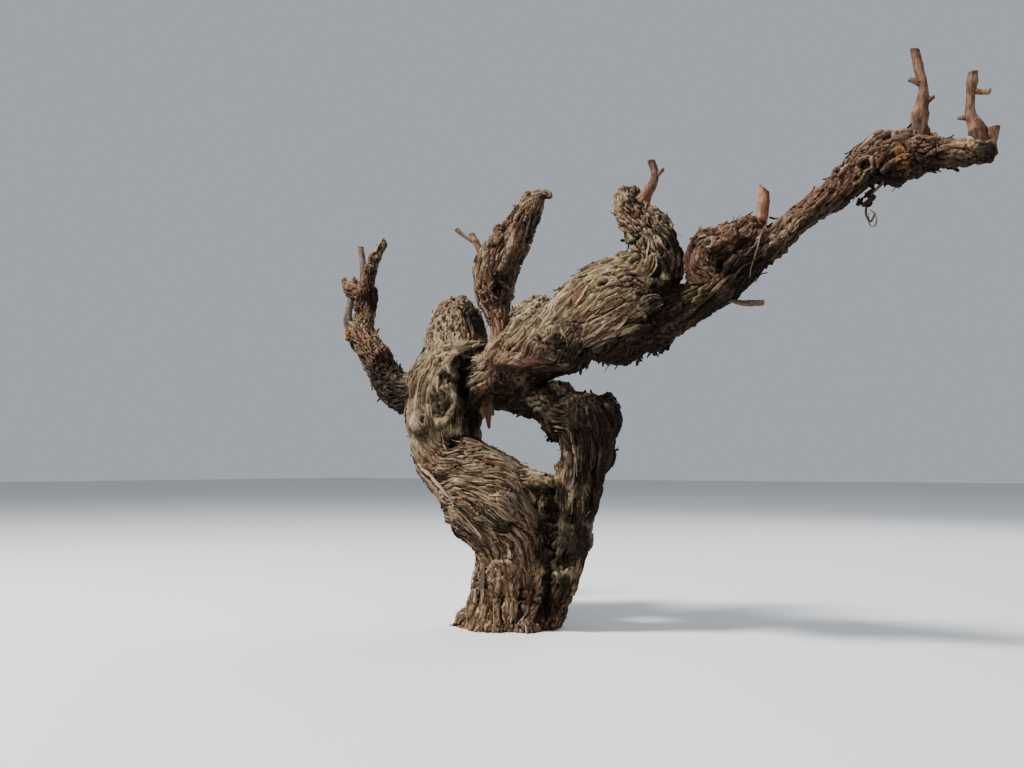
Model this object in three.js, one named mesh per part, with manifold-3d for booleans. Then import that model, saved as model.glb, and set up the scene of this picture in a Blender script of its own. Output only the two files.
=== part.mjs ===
// An old bush vine in winter, pruned back to spurs, from its flat cut at ground level up.
// Millimetres. The row that the vine stands in runs along X, the back is +Y and up is +Z.
// Each limb is a tapering sweep along a curve, and each stands a hair clear of the limb that carries it.

import * as THREE from 'three';
import { mergeVertices } from 'three/addons/utils/BufferGeometryUtils.js';
import Module from 'manifold-3d';

const wasm = await Module();
wasm.setup();

// Clearance round each limb, and the fineness of the faces
const CLEARANCE = 0.42;
const FACE_SHARE = 0.55;
const SHORTEST_FACE = 5;
const SIDES_PER_ROOT_OF_RADIUS = 2.7;
const FEWEST_SIDES = 6;
const BURR_DETAIL = 1;

const MERGE_DISTANCE = 1e-5;

// Unevenness of old wood, as shares of a limb's radius. It fades in between the two radii.
const FLUTE_COUNT = 4;
const FLUTE_DEPTH = 0.06;
const FLUTE_TWIST = 0.011;
const GNARL_DEPTH = 0.07;
const SMOOTH_RADIUS = 5;
const ROUGH_RADIUS = 18;
const GNARL_WAVES = [
  { steepness: new THREE.Vector3(0.09, 0, 0.06), phase: 0 },
  { steepness: new THREE.Vector3(0, 0.11, -0.08), phase: 1.3 },
  { steepness: new THREE.Vector3(0.05, 0, 0.12), phase: 2.1 },
];

// Furrows in the bark of the trunk, as angles round its two stems. Each sways a little along its way,
// and its half widths run from its foot to its top.
const STEM_FURROWS = [0.4, 1.2, 1.9, 2.5, 3.0, 3.6, 4.1, 4.7, 5.4, 6.0];
const FORK_FURROWS = [0.5, 1.7, 3.2, 4.6];
const FURROW_WIDTHS = [2, 4.5, 5, 4, 2];
const FURROW_SWAY = 0.1;
const FURROW_RINGS = 6;
const CLEFT_RINGS = 9;

// Widths across the row, as shares of the widths along it
const FORK_DEPTH = 1.1;
const MAIN_DEPTH = 0.9;

// The block of ground that the trunk is cut off at
const GROUND_REACH = 400;

// Centre lines of the limbs. Each station is x, y, z and the half width of the limb there.
const STEM_LINE = [
  [-9, -2, -19, 56],
  [-4, -2, 4, 50],
  [1, -3, 42, 43],
  [6, -4, 79, 40],
  [4, -5, 108, 45],
  [-14, -6, 147, 57],
  [-48, -4, 177, 49],
  [-80, -1, 198, 42],
  [-95, 0, 224, 42],
  [-98, -2, 262, 49],
  [-91, -2, 302, 50],
  [-84, 4, 338, 42],
  [-87, 9, 374, 38],
  [-88, 10, 400, 30],
  [-88, 10, 417, 13],
];
const FORK_LINE = [
  [14, 6, -12, 32],
  [38, 7, 24, 27],
  [64, 8, 56, 25],
  [79, 8, 90, 24],
  [87, 8, 122, 24],
  [95, 8, 158, 26],
  [105, 8, 186, 27],
  [112, 8, 214, 28],
  [112, 8, 248, 31],
  [113, 8, 277, 25],
];
const WEB_LINE = [
  [44, 12, -12, 22],
  [52, 12, 80, 21],
  [60, 10, 150, 17],
  [66, 8, 172, 9],
];
const CLEFT_LINE = [
  [74, -5, 172, 6],
  [76, -8, 154, 9],
  [76, -11, 131, 12],
  [72, -12, 111, 9],
  [68, -11, 90, 6],
  [67, -14, 67, 5],
  [65, -13, 44, 5],
  [60, -6, 19, 6],
  [56, -6, -6, 7],
];
const MAIN_LINE = [
  [-88, 4, 292, 30],
  [-39, 0, 301, 34],
  [2, -2, 312, 35],
  [42, -4, 335, 41],
  [82, -6, 351, 43],
  [117, -8, 366, 47],
  [148, -10, 371, 60],
  [181, -10, 372, 59],
  [210, -8, 369, 43],
  [240, -9, 369, 25],
  [273, -11, 382, 21],
  [308, -13, 403, 18],
  [342, -16, 422, 16],
  [376, -18, 446, 13],
  [405, -18, 463, 14.5],
  [432, -12, 485, 18],
  [456, -5, 498, 23.5],
  [480, 2, 500, 20],
  [510, 9, 496, 14],
  [549, 14, 491, 10],
];
const RETURN_LINE = [
  [112, 8, 250, 29],
  [88, 9, 253, 30],
  [65, 10, 265, 26],
  [44, 12, 272, 21],
  [21, 14, 275, 17],
  [-5, 14, 284, 17],
  [-26, 10, 296, 16],
];
const LEFT_LINE = [
  [-112, 4, 274, 25],
  [-148, 8, 285, 26],
  [-178, 9, 293, 24],
  [-205, 10, 311, 22],
  [-229, 9, 344, 20],
  [-251, 8, 373, 19],
  [-264, 8, 391, 16],
  [-267, 8, 401, 9],
];
const LEFT_TIP_LINE = [
  [-260, 8, 386, 13],
  [-252, 8, 410, 11],
  [-249, 8, 432, 10],
  [-250, 8, 450, 8.8],
  [-246, 8, 466, 8.6],
  [-236, 8, 484, 6.6],
  [-225, 8, 501, 5.8],
  [-217, 8, 516, 4.8],
];
const MIDDLE_LINE = [
  [-17, 2, 324, 20],
  [-12, 4, 359, 12.5],
  [-15, 5, 382, 14],
  [-22, 5, 410, 20],
  [-19, 5, 446, 26],
  [-1, 4, 474, 24],
  [16, 4, 496, 19],
  [30, 4, 514, 14],
  [39, 4, 527, 9],
];
const CURLED_LINE = [
  [194, -12, 376, 34],
  [206, -18, 402, 32],
  [218, -21, 420, 27],
  [216, -24, 442, 24],
  [199, -24, 466, 22],
  [185, -24, 489, 19],
  [179, -22, 508, 10],
];
const ELBOW_LINE = [
  [286, -14, 391, 15],
  [269, -19, 407, 18],
  [275, -22, 427, 17],
  [294, -22, 431, 16],
  [315, -20, 439, 13],
  [331, -18, 445, 8],
];

// Spurs, stubs and twigs, each from its root to its tip
const LEFT_KNOT_LINE = [
  [-254, 6, 436, 8],
  [-273, 4, 444, 10.5],
  [-284, 2, 457, 6],
  [-289, 1, 466, 3.5],
];
const LEFT_KNOT_NUB = [
  [-272, 7, 446, 6.5],
  [-274, 10, 465, 3.5],
];
const LEFT_THIN_LINE = [
  [-253, 7, 456, 5.5],
  [-255, 6, 481, 4.6],
  [-260, 6, 509, 3.8],
];
const LEFT_DARK_LINE = [
  [-258, 13, 400, 8.5],
  [-250, 18, 427, 7],
  [-247, 19, 449, 5.6],
];
const LEFT_CANE_LINE = [
  [-270, 2, 384, 8.5],
  [-275, -2, 402, 6.5],
  [-274, -1, 418, 5],
  [-272, 2, 437, 5.5],
];
const MIDDLE_SPUR_LINE = [
  [-32, 2, 450, 7],
  [-42, -2, 473, 4.4],
  [-49, -3, 487, 4.2],
  [-54, -3, 496, 4],
];
const MIDDLE_TWIG_LINE = [
  [-49, -4, 484, 2.6],
  [-64, -7, 494, 2.1],
  [-75, -8, 504, 3.2],
];
const MIDDLE_NUB_LINES = [
  [[33, 2, 514, 8], [32, -2, 536, 3.6]],
  [[37, 4, 516, 10], [47, 4, 531, 6], [57, 3, 532, 5], [65, 2, 525, 2.8]],
];
const CURLED_SPUR_LINE = [
  [197, -24, 488, 8],
  [207, -24, 499, 6.5],
  [214, -24, 509, 5],
  [217, -24, 520, 4.4],
  [213, -24, 536, 4],
];
const CURLED_NUB = [
  [215, -24, 514, 3.4],
  [228, -24, 524, 2.2],
];
const ELBOW_SPUR_LINE = [
  [329, -16, 432, 5.5],
  [333, -15, 449, 6],
  [336, -15, 464, 6],
  [338, -15, 485, 5],
];
const ELBOW_NUB_LINES = [
  [[271, -22, 436, 6], [269, -22, 451, 1.8]],
  [[320, -21, 440, 7], [323, -22, 453, 4.5]],
];
const TALL_SPUR_LINE = [
  [488, 4, 500, 9.5],
  [487, 4, 524, 8.5],
  [488, 4, 538, 7.6],
  [491, 4, 551, 5.6],
  [492, 4, 566, 4.2],
  [489, 4, 582, 4.6],
  [486, 4, 604, 3.5],
];
const TALL_SPUR_NUBS = [
  [[490, 4, 569, 4.5], [480, 2, 574, 2.2]],
  [[493, 4, 549, 4.5], [502, 4, 552, 1.8]],
];
const FORKED_SPUR_LINE = [
  [540, 14, 492, 9],
  [536, 14, 516, 7.5],
  [531, 14, 530, 4.8],
  [532, 14, 548, 3.8],
  [534, 14, 561, 4.6],
  [535, 14, 572, 3.4],
];
const FORKED_SPUR_NUBS = [
  [[533, 14, 554, 4.2], [549, 13, 549, 2.8]],
  [[533, 14, 527, 4.2], [520, 12, 529, 2]],
];
const END_STUB_LINE = [
  [543, 15, 492, 8],
  [548, 16, 506, 6.5],
  [552, 16, 517, 4.2],
];
const TWIG_LINE = [
  [262, -8, 371, 3],
  [292, -9, 371, 2],
  [310, -9, 366, 3],
  [332, -9, 364, 3.2],
];
const TENDRIL_LINE = [
  [458, -6, 484, 2],
  [453, -8, 471, 1.7],
  [442, -9, 460, 1.6],
  [437, -9, 443, 1.4],
  [441, -9, 434, 1.4],
  [446, -9, 442, 1.2],
];
const BROKEN_STUB_LINE = [
  [30, -8, 178, 12],
  [57, -12, 177, 10],
  [71, -14, 169, 7],
  [78, -15, 162, 3.5],
];
const FORK_NUB_LINE = [
  [100, 2, 180, 10],
  [84, 2, 189, 7],
  [70, 1, 196, 3.5],
];

// Burrs that swell out of a limb, each as its centre and its three half axes
const ROOT_FLARES = [
  [-34, -22, 0, 18, 17, 18],
  [-30, 28, 0, 18, 18, 22],
  [6, -40, 0, 20, 15, 20],
  [12, 42, 0, 22, 16, 20],
  [42, -18, 0, 15, 18, 16],
  [44, 28, 0, 15, 15, 18],
];
const STEM_BURRS = [
  [-56, -38, 190, 22, 18, 18],
  [20, -40, 140, 22, 20, 26],
];
const HEAD_BURRS = [
  [-100, -36, 250, 26, 18, 20],
  [-62, -30, 318, 20, 18, 20],
  [-118, -20, 304, 20, 20, 22],
];
const SADDLE_BURRS = [
  [43, -14, 372, 27, 20, 22],
  [52, -8, 390, 13, 12, 14],
];
const KNUCKLE_BURRS = [
  [196, -30, 352, 24, 26, 24],
  [168, -40, 392, 26, 24, 22],
  [158, -10, 328, 32, 26, 18],
  [174, -12, 418, 26, 24, 20],
];
const RETURN_BURRS = [
  [70, 6, 280, 20, 20, 15],
];
const END_BURRS = [
  [464, -4, 482, 14, 13, 15],
];

// Scars where old boughs were sawn off and the bark has rolled round the wound
const HEAD_SCARS = [
  [-67, -50, 276, 16, 14, 14],
  [-62, -45, 305, 10, 10, 9],
];

const BARK = new THREE.Color('#6b5a49');
const PALE_WOOD = new THREE.Color('#8a7b58');
const DARK_BARK = new THREE.Color('#54453a');
const CANE = new THREE.Color('#9a5f3c');

// Slow swelling of the wood from place to place, between -1 and 1
function gnarl(place) {
  const waves = GNARL_WAVES.map(({ steepness, phase }) => Math.sin(place.dot(steepness) + phase));
  return waves.reduce((sum, wave) => sum + wave) / waves.length;
}

// Share by which a big limb is fluted and gnarled at one place on it
function unevenness(place, angle, radius) {
  const strength = THREE.MathUtils.smoothstep(radius, SMOOTH_RADIUS, ROUGH_RADIUS);
  const turn = FLUTE_TWIST * (place.x + place.z);
  const flute = FLUTE_DEPTH * Math.cos(FLUTE_COUNT * (angle + turn));
  return strength * (flute + GNARL_DEPTH * gnarl(place));
}

// Copy of a geometry in which neighbouring faces share their vertices
function closedGeometry(geometry) {
  geometry.deleteAttribute('normal');
  geometry.deleteAttribute('uv');
  return mergeVertices(geometry, MERGE_DISTANCE);
}

// Curves of a line's centres and of its half widths
function curvesOf(line) {
  const centres = new THREE.CatmullRomCurve3(line.map(([x, y, z]) => new THREE.Vector3(x, y, z)));
  const widthPoints = line.map((station) => new THREE.Vector3(station[3], 0, 0));
  const widths = new THREE.CatmullRomCurve3(widthPoints, false, 'catmullrom');
  return { centres, widths };
}

// A place on a sweep, at a time along its curves. It lies out from the centre line by two shares of the
// half width: to the side along the row, and across it.
function sweptPlace({ centres, widths }, time, toSide, toAcross, depth, growth) {
  const centre = centres.getPoint(time);
  const tangent = centres.getTangent(time);
  const across = new THREE.Vector3(0, 1, 0).addScaledVector(tangent, -tangent.y).normalize();
  const side = new THREE.Vector3().crossVectors(tangent, across);
  const outward = new THREE.Vector3();
  outward.addScaledVector(side, toSide);
  outward.addScaledVector(across, toAcross * depth);
  const radius = widths.getPoint(time).x;
  const bare = centre.clone().addScaledVector(outward, radius);
  const angle = Math.atan2(toSide, toAcross);
  const reach = radius * (1 + unevenness(bare, angle, radius)) + growth;
  return centre.addScaledVector(outward, reach);
}

// How many rings of faces a stretch of stations gets
function ringsFor(stretch) {
  const faceLength = Math.max(SHORTEST_FACE, widestOf(stretch) * FACE_SHARE);
  return Math.max(2, Math.round(stretchLength(stretch) / faceLength));
}

// A closed sweep along the stations of a line, between two station numbers. Depth is the width across
// the row as a share of the width along it, and slant tilts the cut at the tip.
function sweepGeometry({ line, from = 0, to = line.length - 1, depth = 1, slant = 0, rings }, growth) {
  const curves = curvesOf(line);
  const last = line.length - 1;
  const ringCount = rings ?? ringsFor(line.slice(from, to + 1));
  const halfSides = Math.round(SIDES_PER_ROOT_OF_RADIUS * Math.sqrt(widestOf(line)) / 2);
  const sides = Math.max(FEWEST_SIDES, 2 * halfSides);
  const geometry = closedGeometry(new THREE.CylinderGeometry(1, 1, 1, sides, ringCount));
  const position = geometry.getAttribute('position');
  const vertex = new THREE.Vector3();
  for (let index = 0; index < position.count; index += 1) {
    vertex.fromBufferAttribute(position, index);
    const share = vertex.y + 0.5;
    const time = (from + (to - from) * share) / last;
    const place = sweptPlace(curves, time, vertex.x, vertex.z, depth, growth);
    const end = endOf(share);
    const tilt = end === 1 ? slant * curves.widths.getPoint(time).x * vertex.x : 0;
    place.addScaledVector(curves.centres.getTangent(time), end * growth + tilt);
    position.setXYZ(index, place.x, place.y, place.z);
  }
  return geometry;
}

// A furrow on the surface of a sweep, between two station numbers and at one angle round it
function furrowSweep({ line, from, to, depth = 1 }, angle) {
  const curves = curvesOf(line);
  const furrow = FURROW_WIDTHS.map((halfWidth, index) => {
    const share = index / (FURROW_WIDTHS.length - 1);
    const time = (from + (to - from) * share) / (line.length - 1);
    const turned = angle + FURROW_SWAY * Math.sin(2 * Math.PI * share + angle * angle);
    const place = sweptPlace(curves, time, Math.sin(turned), Math.cos(turned), depth, 0);
    return [place.x, place.y, place.z, halfWidth];
  });
  return { line: furrow, rings: FURROW_RINGS };
}

// Which end a share of the length belongs to: -1 at the root, 1 at the tip and 0 between
function endOf(share) {
  if (share < MERGE_DISTANCE) return -1;
  return share > 1 - MERGE_DISTANCE ? 1 : 0;
}

// Largest half width among some stations
function widestOf(stations) {
  return Math.max(...stations.map((station) => station[3]));
}

// Length of the straight lines between stations
function stretchLength(stations) {
  let length = 0;
  for (let index = 1; index < stations.length; index += 1) {
    const start = new THREE.Vector3(...stations[index - 1]);
    length += start.distanceTo(new THREE.Vector3(...stations[index]));
  }
  return length;
}

// A ball with three half axes
function burrGeometry([x, y, z, halfX, halfY, halfZ], growth) {
  const geometry = closedGeometry(new THREE.IcosahedronGeometry(1, BURR_DETAIL));
  geometry.scale(halfX + growth, halfY + growth, halfZ + growth);
  geometry.translate(x, y, z);
  return geometry;
}

function solidFromGeometry(geometry) {
  const vertProperties = new Float32Array(geometry.getAttribute('position').array);
  const triVerts = new Uint32Array(geometry.getIndex().array);
  return new wasm.Manifold(new wasm.Mesh({ numProp: 3, vertProperties, triVerts }));
}

function geometryFromSolid(solid) {
  const mesh = solid.getMesh();
  const geometry = new THREE.BufferGeometry();
  geometry.setAttribute('position', new THREE.BufferAttribute(new Float32Array(mesh.vertProperties), 3));
  geometry.setIndex(new THREE.BufferAttribute(new Uint32Array(mesh.triVerts), 1));
  return geometry;
}

// One limb as a solid: its sweeps and burrs joined, and its scars and furrows cut out
function limbSolid({ sweeps, burrs = [], scars = [], furrows = [] }, growth) {
  const shapes = sweeps.map((sweep) => sweepGeometry(sweep, growth));
  shapes.push(...burrs.map((burr) => burrGeometry(burr, growth)));
  const joined = shapes.map(solidFromGeometry).reduce((whole, shape) => whole.add(shape));
  const hollows = scars.map((scar) => burrGeometry(scar, -growth));
  hollows.push(...furrows.map((furrow) => sweepGeometry(furrow, -growth)));
  return hollows.map(solidFromGeometry).reduce((whole, hollow) => whole.subtract(hollow), joined);
}

function groundBlock() {
  const box = closedGeometry(new THREE.BoxGeometry(GROUND_REACH, GROUND_REACH, GROUND_REACH));
  box.translate(0, 0, -GROUND_REACH / 2);
  return solidFromGeometry(box);
}

// The cleft between the two stems, and the furrows in the bark below it
const CLEFT = { line: CLEFT_LINE, rings: CLEFT_RINGS };
const FURROWED_STEM = { line: STEM_LINE, from: 0.9, to: 3.6 };
const FURROWED_FORK = { line: FORK_LINE, from: 0.8, to: 2.7, depth: FORK_DEPTH };
const TRUNK_FURROWS = [
  ...STEM_FURROWS.map((angle) => furrowSweep(FURROWED_STEM, angle)),
  ...FORK_FURROWS.map((angle) => furrowSweep(FURROWED_FORK, angle)),
];

// The limbs in the order in which they carry each other
const LIMBS = [
  {
    name: 'trunk',
    colour: BARK,
    sweeps: [
      { line: STEM_LINE, to: 4 },
      { line: FORK_LINE, to: 3, depth: FORK_DEPTH },
      { line: WEB_LINE },
    ],
    burrs: ROOT_FLARES,
    furrows: [...TRUNK_FURROWS, CLEFT],
  },
  { name: 'left_stem', colour: BARK, sweeps: [{ line: STEM_LINE, from: 4, to: 8 }], burrs: STEM_BURRS },
  {
    name: 'head',
    colour: PALE_WOOD,
    sweeps: [{ line: STEM_LINE, from: 8, to: 11 }],
    burrs: HEAD_BURRS,
    scars: HEAD_SCARS,
  },
  { name: 'dead_stump', colour: BARK, sweeps: [{ line: STEM_LINE, from: 11 }] },
  {
    name: 'right_stem',
    colour: DARK_BARK,
    sweeps: [{ line: FORK_LINE, from: 3, depth: FORK_DEPTH }],
    furrows: [CLEFT],
  },
  {
    name: 'main_bough_root',
    colour: BARK,
    sweeps: [{ line: MAIN_LINE, to: 5, depth: MAIN_DEPTH }],
    burrs: SADDLE_BURRS,
  },
  {
    name: 'main_bough_knuckle',
    colour: PALE_WOOD,
    sweeps: [{ line: MAIN_LINE, from: 5, to: 9, depth: MAIN_DEPTH }],
    burrs: KNUCKLE_BURRS,
  },
  {
    name: 'main_bough_reach',
    colour: BARK,
    sweeps: [{ line: MAIN_LINE, from: 9, to: 14, depth: MAIN_DEPTH }],
  },
  {
    name: 'main_bough_end',
    colour: BARK,
    sweeps: [{ line: MAIN_LINE, from: 14, depth: MAIN_DEPTH }],
    burrs: END_BURRS,
  },
  { name: 'return_bough', colour: DARK_BARK, sweeps: [{ line: RETURN_LINE }], burrs: RETURN_BURRS },
  { name: 'left_bough', colour: BARK, sweeps: [{ line: LEFT_LINE }] },
  { name: 'left_bough_tip', colour: BARK, sweeps: [{ line: LEFT_TIP_LINE }] },
  {
    name: 'middle_bough',
    colour: BARK,
    sweeps: [{ line: MIDDLE_LINE }, ...MIDDLE_NUB_LINES.map((line) => ({ line }))],
  },
  { name: 'curled_bough', colour: BARK, sweeps: [{ line: CURLED_LINE }] },
  {
    name: 'elbow_bough',
    colour: BARK,
    sweeps: [{ line: ELBOW_LINE }, ...ELBOW_NUB_LINES.map((line) => ({ line }))],
  },
  { name: 'left_knot', colour: DARK_BARK, sweeps: [{ line: LEFT_KNOT_LINE }, { line: LEFT_KNOT_NUB }] },
  { name: 'left_thin_spur', colour: CANE, sweeps: [{ line: LEFT_THIN_LINE }] },
  { name: 'left_dark_stub', colour: DARK_BARK, sweeps: [{ line: LEFT_DARK_LINE }] },
  { name: 'left_cane', colour: CANE, sweeps: [{ line: LEFT_CANE_LINE }] },
  { name: 'middle_spur', colour: CANE, sweeps: [{ line: MIDDLE_SPUR_LINE }] },
  { name: 'middle_twig', colour: DARK_BARK, sweeps: [{ line: MIDDLE_TWIG_LINE }] },
  { name: 'curled_spur', colour: CANE, sweeps: [{ line: CURLED_SPUR_LINE }, { line: CURLED_NUB }] },
  { name: 'elbow_spur', colour: CANE, sweeps: [{ line: ELBOW_SPUR_LINE, slant: 0.9 }] },
  {
    name: 'tall_spur',
    colour: CANE,
    sweeps: [{ line: TALL_SPUR_LINE, slant: 0.5 }, ...TALL_SPUR_NUBS.map((line) => ({ line }))],
  },
  {
    name: 'forked_spur',
    colour: CANE,
    sweeps: [{ line: FORKED_SPUR_LINE, slant: -0.5 }, ...FORKED_SPUR_NUBS.map((line) => ({ line }))],
  },
  { name: 'end_stub', colour: CANE, sweeps: [{ line: END_STUB_LINE, slant: 0.8 }] },
  { name: 'twig_stub', colour: DARK_BARK, sweeps: [{ line: TWIG_LINE }] },
  { name: 'tendril', colour: DARK_BARK, sweeps: [{ line: TENDRIL_LINE }] },
  { name: 'broken_stub', colour: PALE_WOOD, sweeps: [{ line: BROKEN_STUB_LINE }] },
  { name: 'fork_nub', colour: BARK, sweeps: [{ line: FORK_NUB_LINE }] },
];

const vine = new THREE.Group();
const ground = groundBlock();
let taken = ground;
for (const limb of LIMBS) {
  const solid = limbSolid(limb, 0).subtract(taken);
  const material = new THREE.MeshStandardMaterial({ color: limb.colour, roughness: 0.95, metalness: 0 });
  const mesh = new THREE.Mesh(geometryFromSolid(solid), material);
  mesh.name = limb.name;
  vine.add(mesh);
  taken = taken.add(limbSolid(limb, CLEARANCE));
}

export default vine;
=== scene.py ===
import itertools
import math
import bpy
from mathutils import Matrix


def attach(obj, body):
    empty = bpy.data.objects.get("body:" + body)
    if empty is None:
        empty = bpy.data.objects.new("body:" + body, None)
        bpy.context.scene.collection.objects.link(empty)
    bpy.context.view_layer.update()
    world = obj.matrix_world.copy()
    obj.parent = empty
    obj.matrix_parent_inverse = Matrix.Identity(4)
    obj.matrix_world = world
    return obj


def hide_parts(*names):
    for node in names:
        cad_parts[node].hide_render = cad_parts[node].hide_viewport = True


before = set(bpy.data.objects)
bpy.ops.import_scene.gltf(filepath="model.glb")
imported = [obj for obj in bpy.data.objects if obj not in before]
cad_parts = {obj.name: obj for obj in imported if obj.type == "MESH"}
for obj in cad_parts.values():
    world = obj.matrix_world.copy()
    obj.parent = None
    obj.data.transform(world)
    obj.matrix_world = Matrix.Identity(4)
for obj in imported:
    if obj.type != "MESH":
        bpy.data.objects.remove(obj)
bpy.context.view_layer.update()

# An old bush vine in winter: shaggy bark with knots and scars, loose strips of bark, and pruned spurs.
# The tables and the relief are in millimetres, and the meshes in metres. The row that the vine stands
# in runs along X, the back is +Y and up is +Z.

from types import SimpleNamespace

import bmesh
import bpy
import numpy as np
from mathutils import Vector
from mathutils.bvhtree import BVHTree

MM = 0.001

# Fineness of the meshes
VOXEL = 1.2
RING_GAP = 2.5
SAMPLE_GAP = 3.0
CARVING_GAP = 1.5
SMOOTHING_ROUNDS = 8
FILLET = 5.0
FORK_REACH = 8.0
LEAST_SIDES = 12
CHUNK = 20000

# The slow flutes and swellings that the solids have too
FLUTE_COUNT = 4
FLUTE_DEPTH = 0.06
FLUTE_TWIST = 0.011
GNARL_DEPTH = 0.07
SMOOTH_RADIUS = 5
ROUGH_RADIUS = 18
GNARL_WAVES = (((0.09, 0, 0.06), 0), ((0, 0.11, -0.08), 1.3), ((0.05, 0, 0.12), 2.1))

# Centre lines of the barked limbs. Each station is x, y, z and the half width of the limb there.
BARKED_LINES = {
    "stem": [
        (-9, -2, -19, 56), (-4, -2, 4, 50), (1, -3, 42, 43), (6, -4, 79, 40), (4, -5, 108, 45),
        (-14, -6, 147, 57), (-48, -4, 177, 49), (-80, -1, 198, 42), (-95, 0, 224, 42), (-98, -2, 262, 49),
        (-91, -2, 302, 50), (-84, 4, 338, 42), (-87, 9, 374, 38), (-88, 10, 400, 30), (-88, 10, 417, 13),
    ],
    "fork": [
        (14, 6, -12, 32), (38, 7, 24, 27), (64, 8, 56, 25), (79, 8, 90, 24), (87, 8, 122, 24),
        (95, 8, 158, 26), (105, 8, 186, 27), (112, 8, 214, 28), (112, 8, 248, 31), (113, 8, 277, 25),
    ],
    "web": [(44, 12, -12, 22), (52, 12, 80, 21), (60, 10, 150, 17), (66, 8, 172, 9)],
    "main": [
        (-88, 4, 292, 30), (-39, 0, 301, 34), (2, -2, 312, 35), (42, -4, 335, 41), (82, -6, 351, 43),
        (117, -8, 366, 47), (148, -10, 371, 60), (181, -10, 372, 59), (210, -8, 369, 43), (240, -9, 369, 25),
        (273, -11, 382, 21), (308, -13, 403, 18), (342, -16, 422, 16), (376, -18, 446, 13),
        (405, -18, 463, 14.5), (432, -12, 485, 18), (456, -5, 498, 23.5), (480, 2, 500, 20),
        (510, 9, 496, 14), (549, 14, 491, 10),
    ],
    "return": [
        (112, 8, 250, 29), (88, 9, 253, 30), (65, 10, 265, 26), (44, 12, 272, 21), (21, 14, 275, 17),
        (-5, 14, 284, 17), (-26, 10, 296, 16),
    ],
    "left": [
        (-112, 4, 274, 25), (-148, 8, 285, 26), (-178, 9, 293, 24), (-205, 10, 311, 22), (-229, 9, 344, 20),
        (-251, 8, 373, 19), (-264, 8, 391, 16), (-267, 8, 401, 9),
    ],
    "left_tip": [
        (-260, 8, 386, 13), (-252, 8, 410, 11), (-249, 8, 432, 10), (-250, 8, 450, 8.8),
        (-246, 8, 466, 8.6), (-236, 8, 484, 6.6), (-225, 8, 501, 5.8), (-217, 8, 516, 4.8),
    ],
    "middle": [
        (-17, 2, 324, 20), (-12, 4, 359, 12.5), (-15, 5, 382, 14), (-22, 5, 410, 20), (-19, 5, 446, 26),
        (-1, 4, 474, 24), (16, 4, 496, 19), (30, 4, 514, 14), (39, 4, 527, 9),
    ],
    "middle_nub": [(33, 2, 514, 8), (32, -2, 536, 3.6)],
    "middle_horn": [(37, 4, 516, 10), (47, 4, 531, 6), (57, 3, 532, 5), (65, 2, 525, 2.8)],
    "curled": [
        (194, -12, 376, 34), (206, -18, 402, 32), (218, -21, 420, 27), (216, -24, 442, 24),
        (199, -24, 466, 22), (185, -24, 489, 17.5), (180, -23, 507, 13),
    ],
    "elbow": [
        (286, -14, 391, 15), (269, -19, 407, 18), (275, -22, 427, 17), (294, -22, 431, 16),
        (315, -20, 439, 13), (331, -18, 445, 8),
    ],
    "elbow_thorn": [(271, -22, 436, 6), (269, -22, 451, 1.8)],
    "elbow_nub": [(320, -21, 440, 7), (323, -22, 453, 4.5)],
    "left_knot": [(-254, 6, 436, 8), (-273, 4, 444, 10.5), (-284, 2, 457, 6), (-289, 1, 466, 3.5)],
    "left_knot_nub": [(-272, 7, 446, 6.5), (-274, 10, 465, 3.5)],
    "left_dark": [(-258, 13, 400, 8.5), (-250, 18, 427, 7), (-247, 19, 449, 5.6)],
    "broken_stub": [(30, -8, 178, 12), (57, -12, 177, 10), (71, -14, 169, 7), (78, -15, 162, 3.5)],
    "fork_nub": [(100, 2, 180, 10), (84, 2, 189, 7), (70, 1, 196, 3.5)],
    "red_band": [
        (-8, -22, 322, 6), (8, -27, 324, 11), (45, -31, 319, 11.5), (77, -27, 315, 10), (96, -10, 311, 5),
    ],
    "collar": [
        (-100, -36, 322, 5), (-74, -38, 334, 6), (-56, -24, 342, 6), (-46, -10, 347, 6), (-34, 0, 350, 5),
    ],
    "split_board": [
        (-108, -26, 190, 4), (-96, -31, 177, 5.5), (-61, -42, 153, 6), (-28, -50, 130, 5.5),
        (4, -49, 110, 3.5),
    ],
    "middle_strand": [(0, -13, 436, 4), (14, -12, 460, 6), (20, -10, 482, 5.5), (25, -8, 502, 4)],
    "middle_heel": [(-32, -4, 412, 5), (-38, -4, 434, 7.5), (-38, -4, 456, 6)],
}

# Widths across the row, as shares of the widths along it
DEPTHS = {"fork": 1.1, "main": 0.9}

# The solids along a line that stands for several: each a node and the station where its stretch ends
STRETCHES = {
    "stem": [("trunk", 4), ("left_stem", 8), ("head", 11), ("dead_stump", 14)],
    "fork": [("trunk", 3), ("right_stem", 9)],
    "main": [
        ("main_bough_root", 5), ("main_bough_knuckle", 9), ("main_bough_reach", 14), ("main_bough_end", 19),
    ],
}

# The one solid that each of the other lines stands for. A line not named here has its solid's name.
NODE_OF_LINE = {
    "web": "trunk",
    "split_board": "left_stem",
    "collar": "head",
    "red_band": "main_bough_root",
    "return": "return_bough",
    "left": "left_bough",
    "left_tip": "left_bough_tip",
    "left_knot_nub": "left_knot",
    "left_dark": "left_dark_stub",
    "middle": "middle_bough",
    "middle_nub": "middle_bough",
    "middle_horn": "middle_bough",
    "middle_strand": "middle_bough",
    "middle_heel": "middle_bough",
    "curled": "curled_bough",
    "elbow": "elbow_bough",
    "elbow_thorn": "elbow_bough",
    "elbow_nub": "elbow_bough",
}

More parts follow.
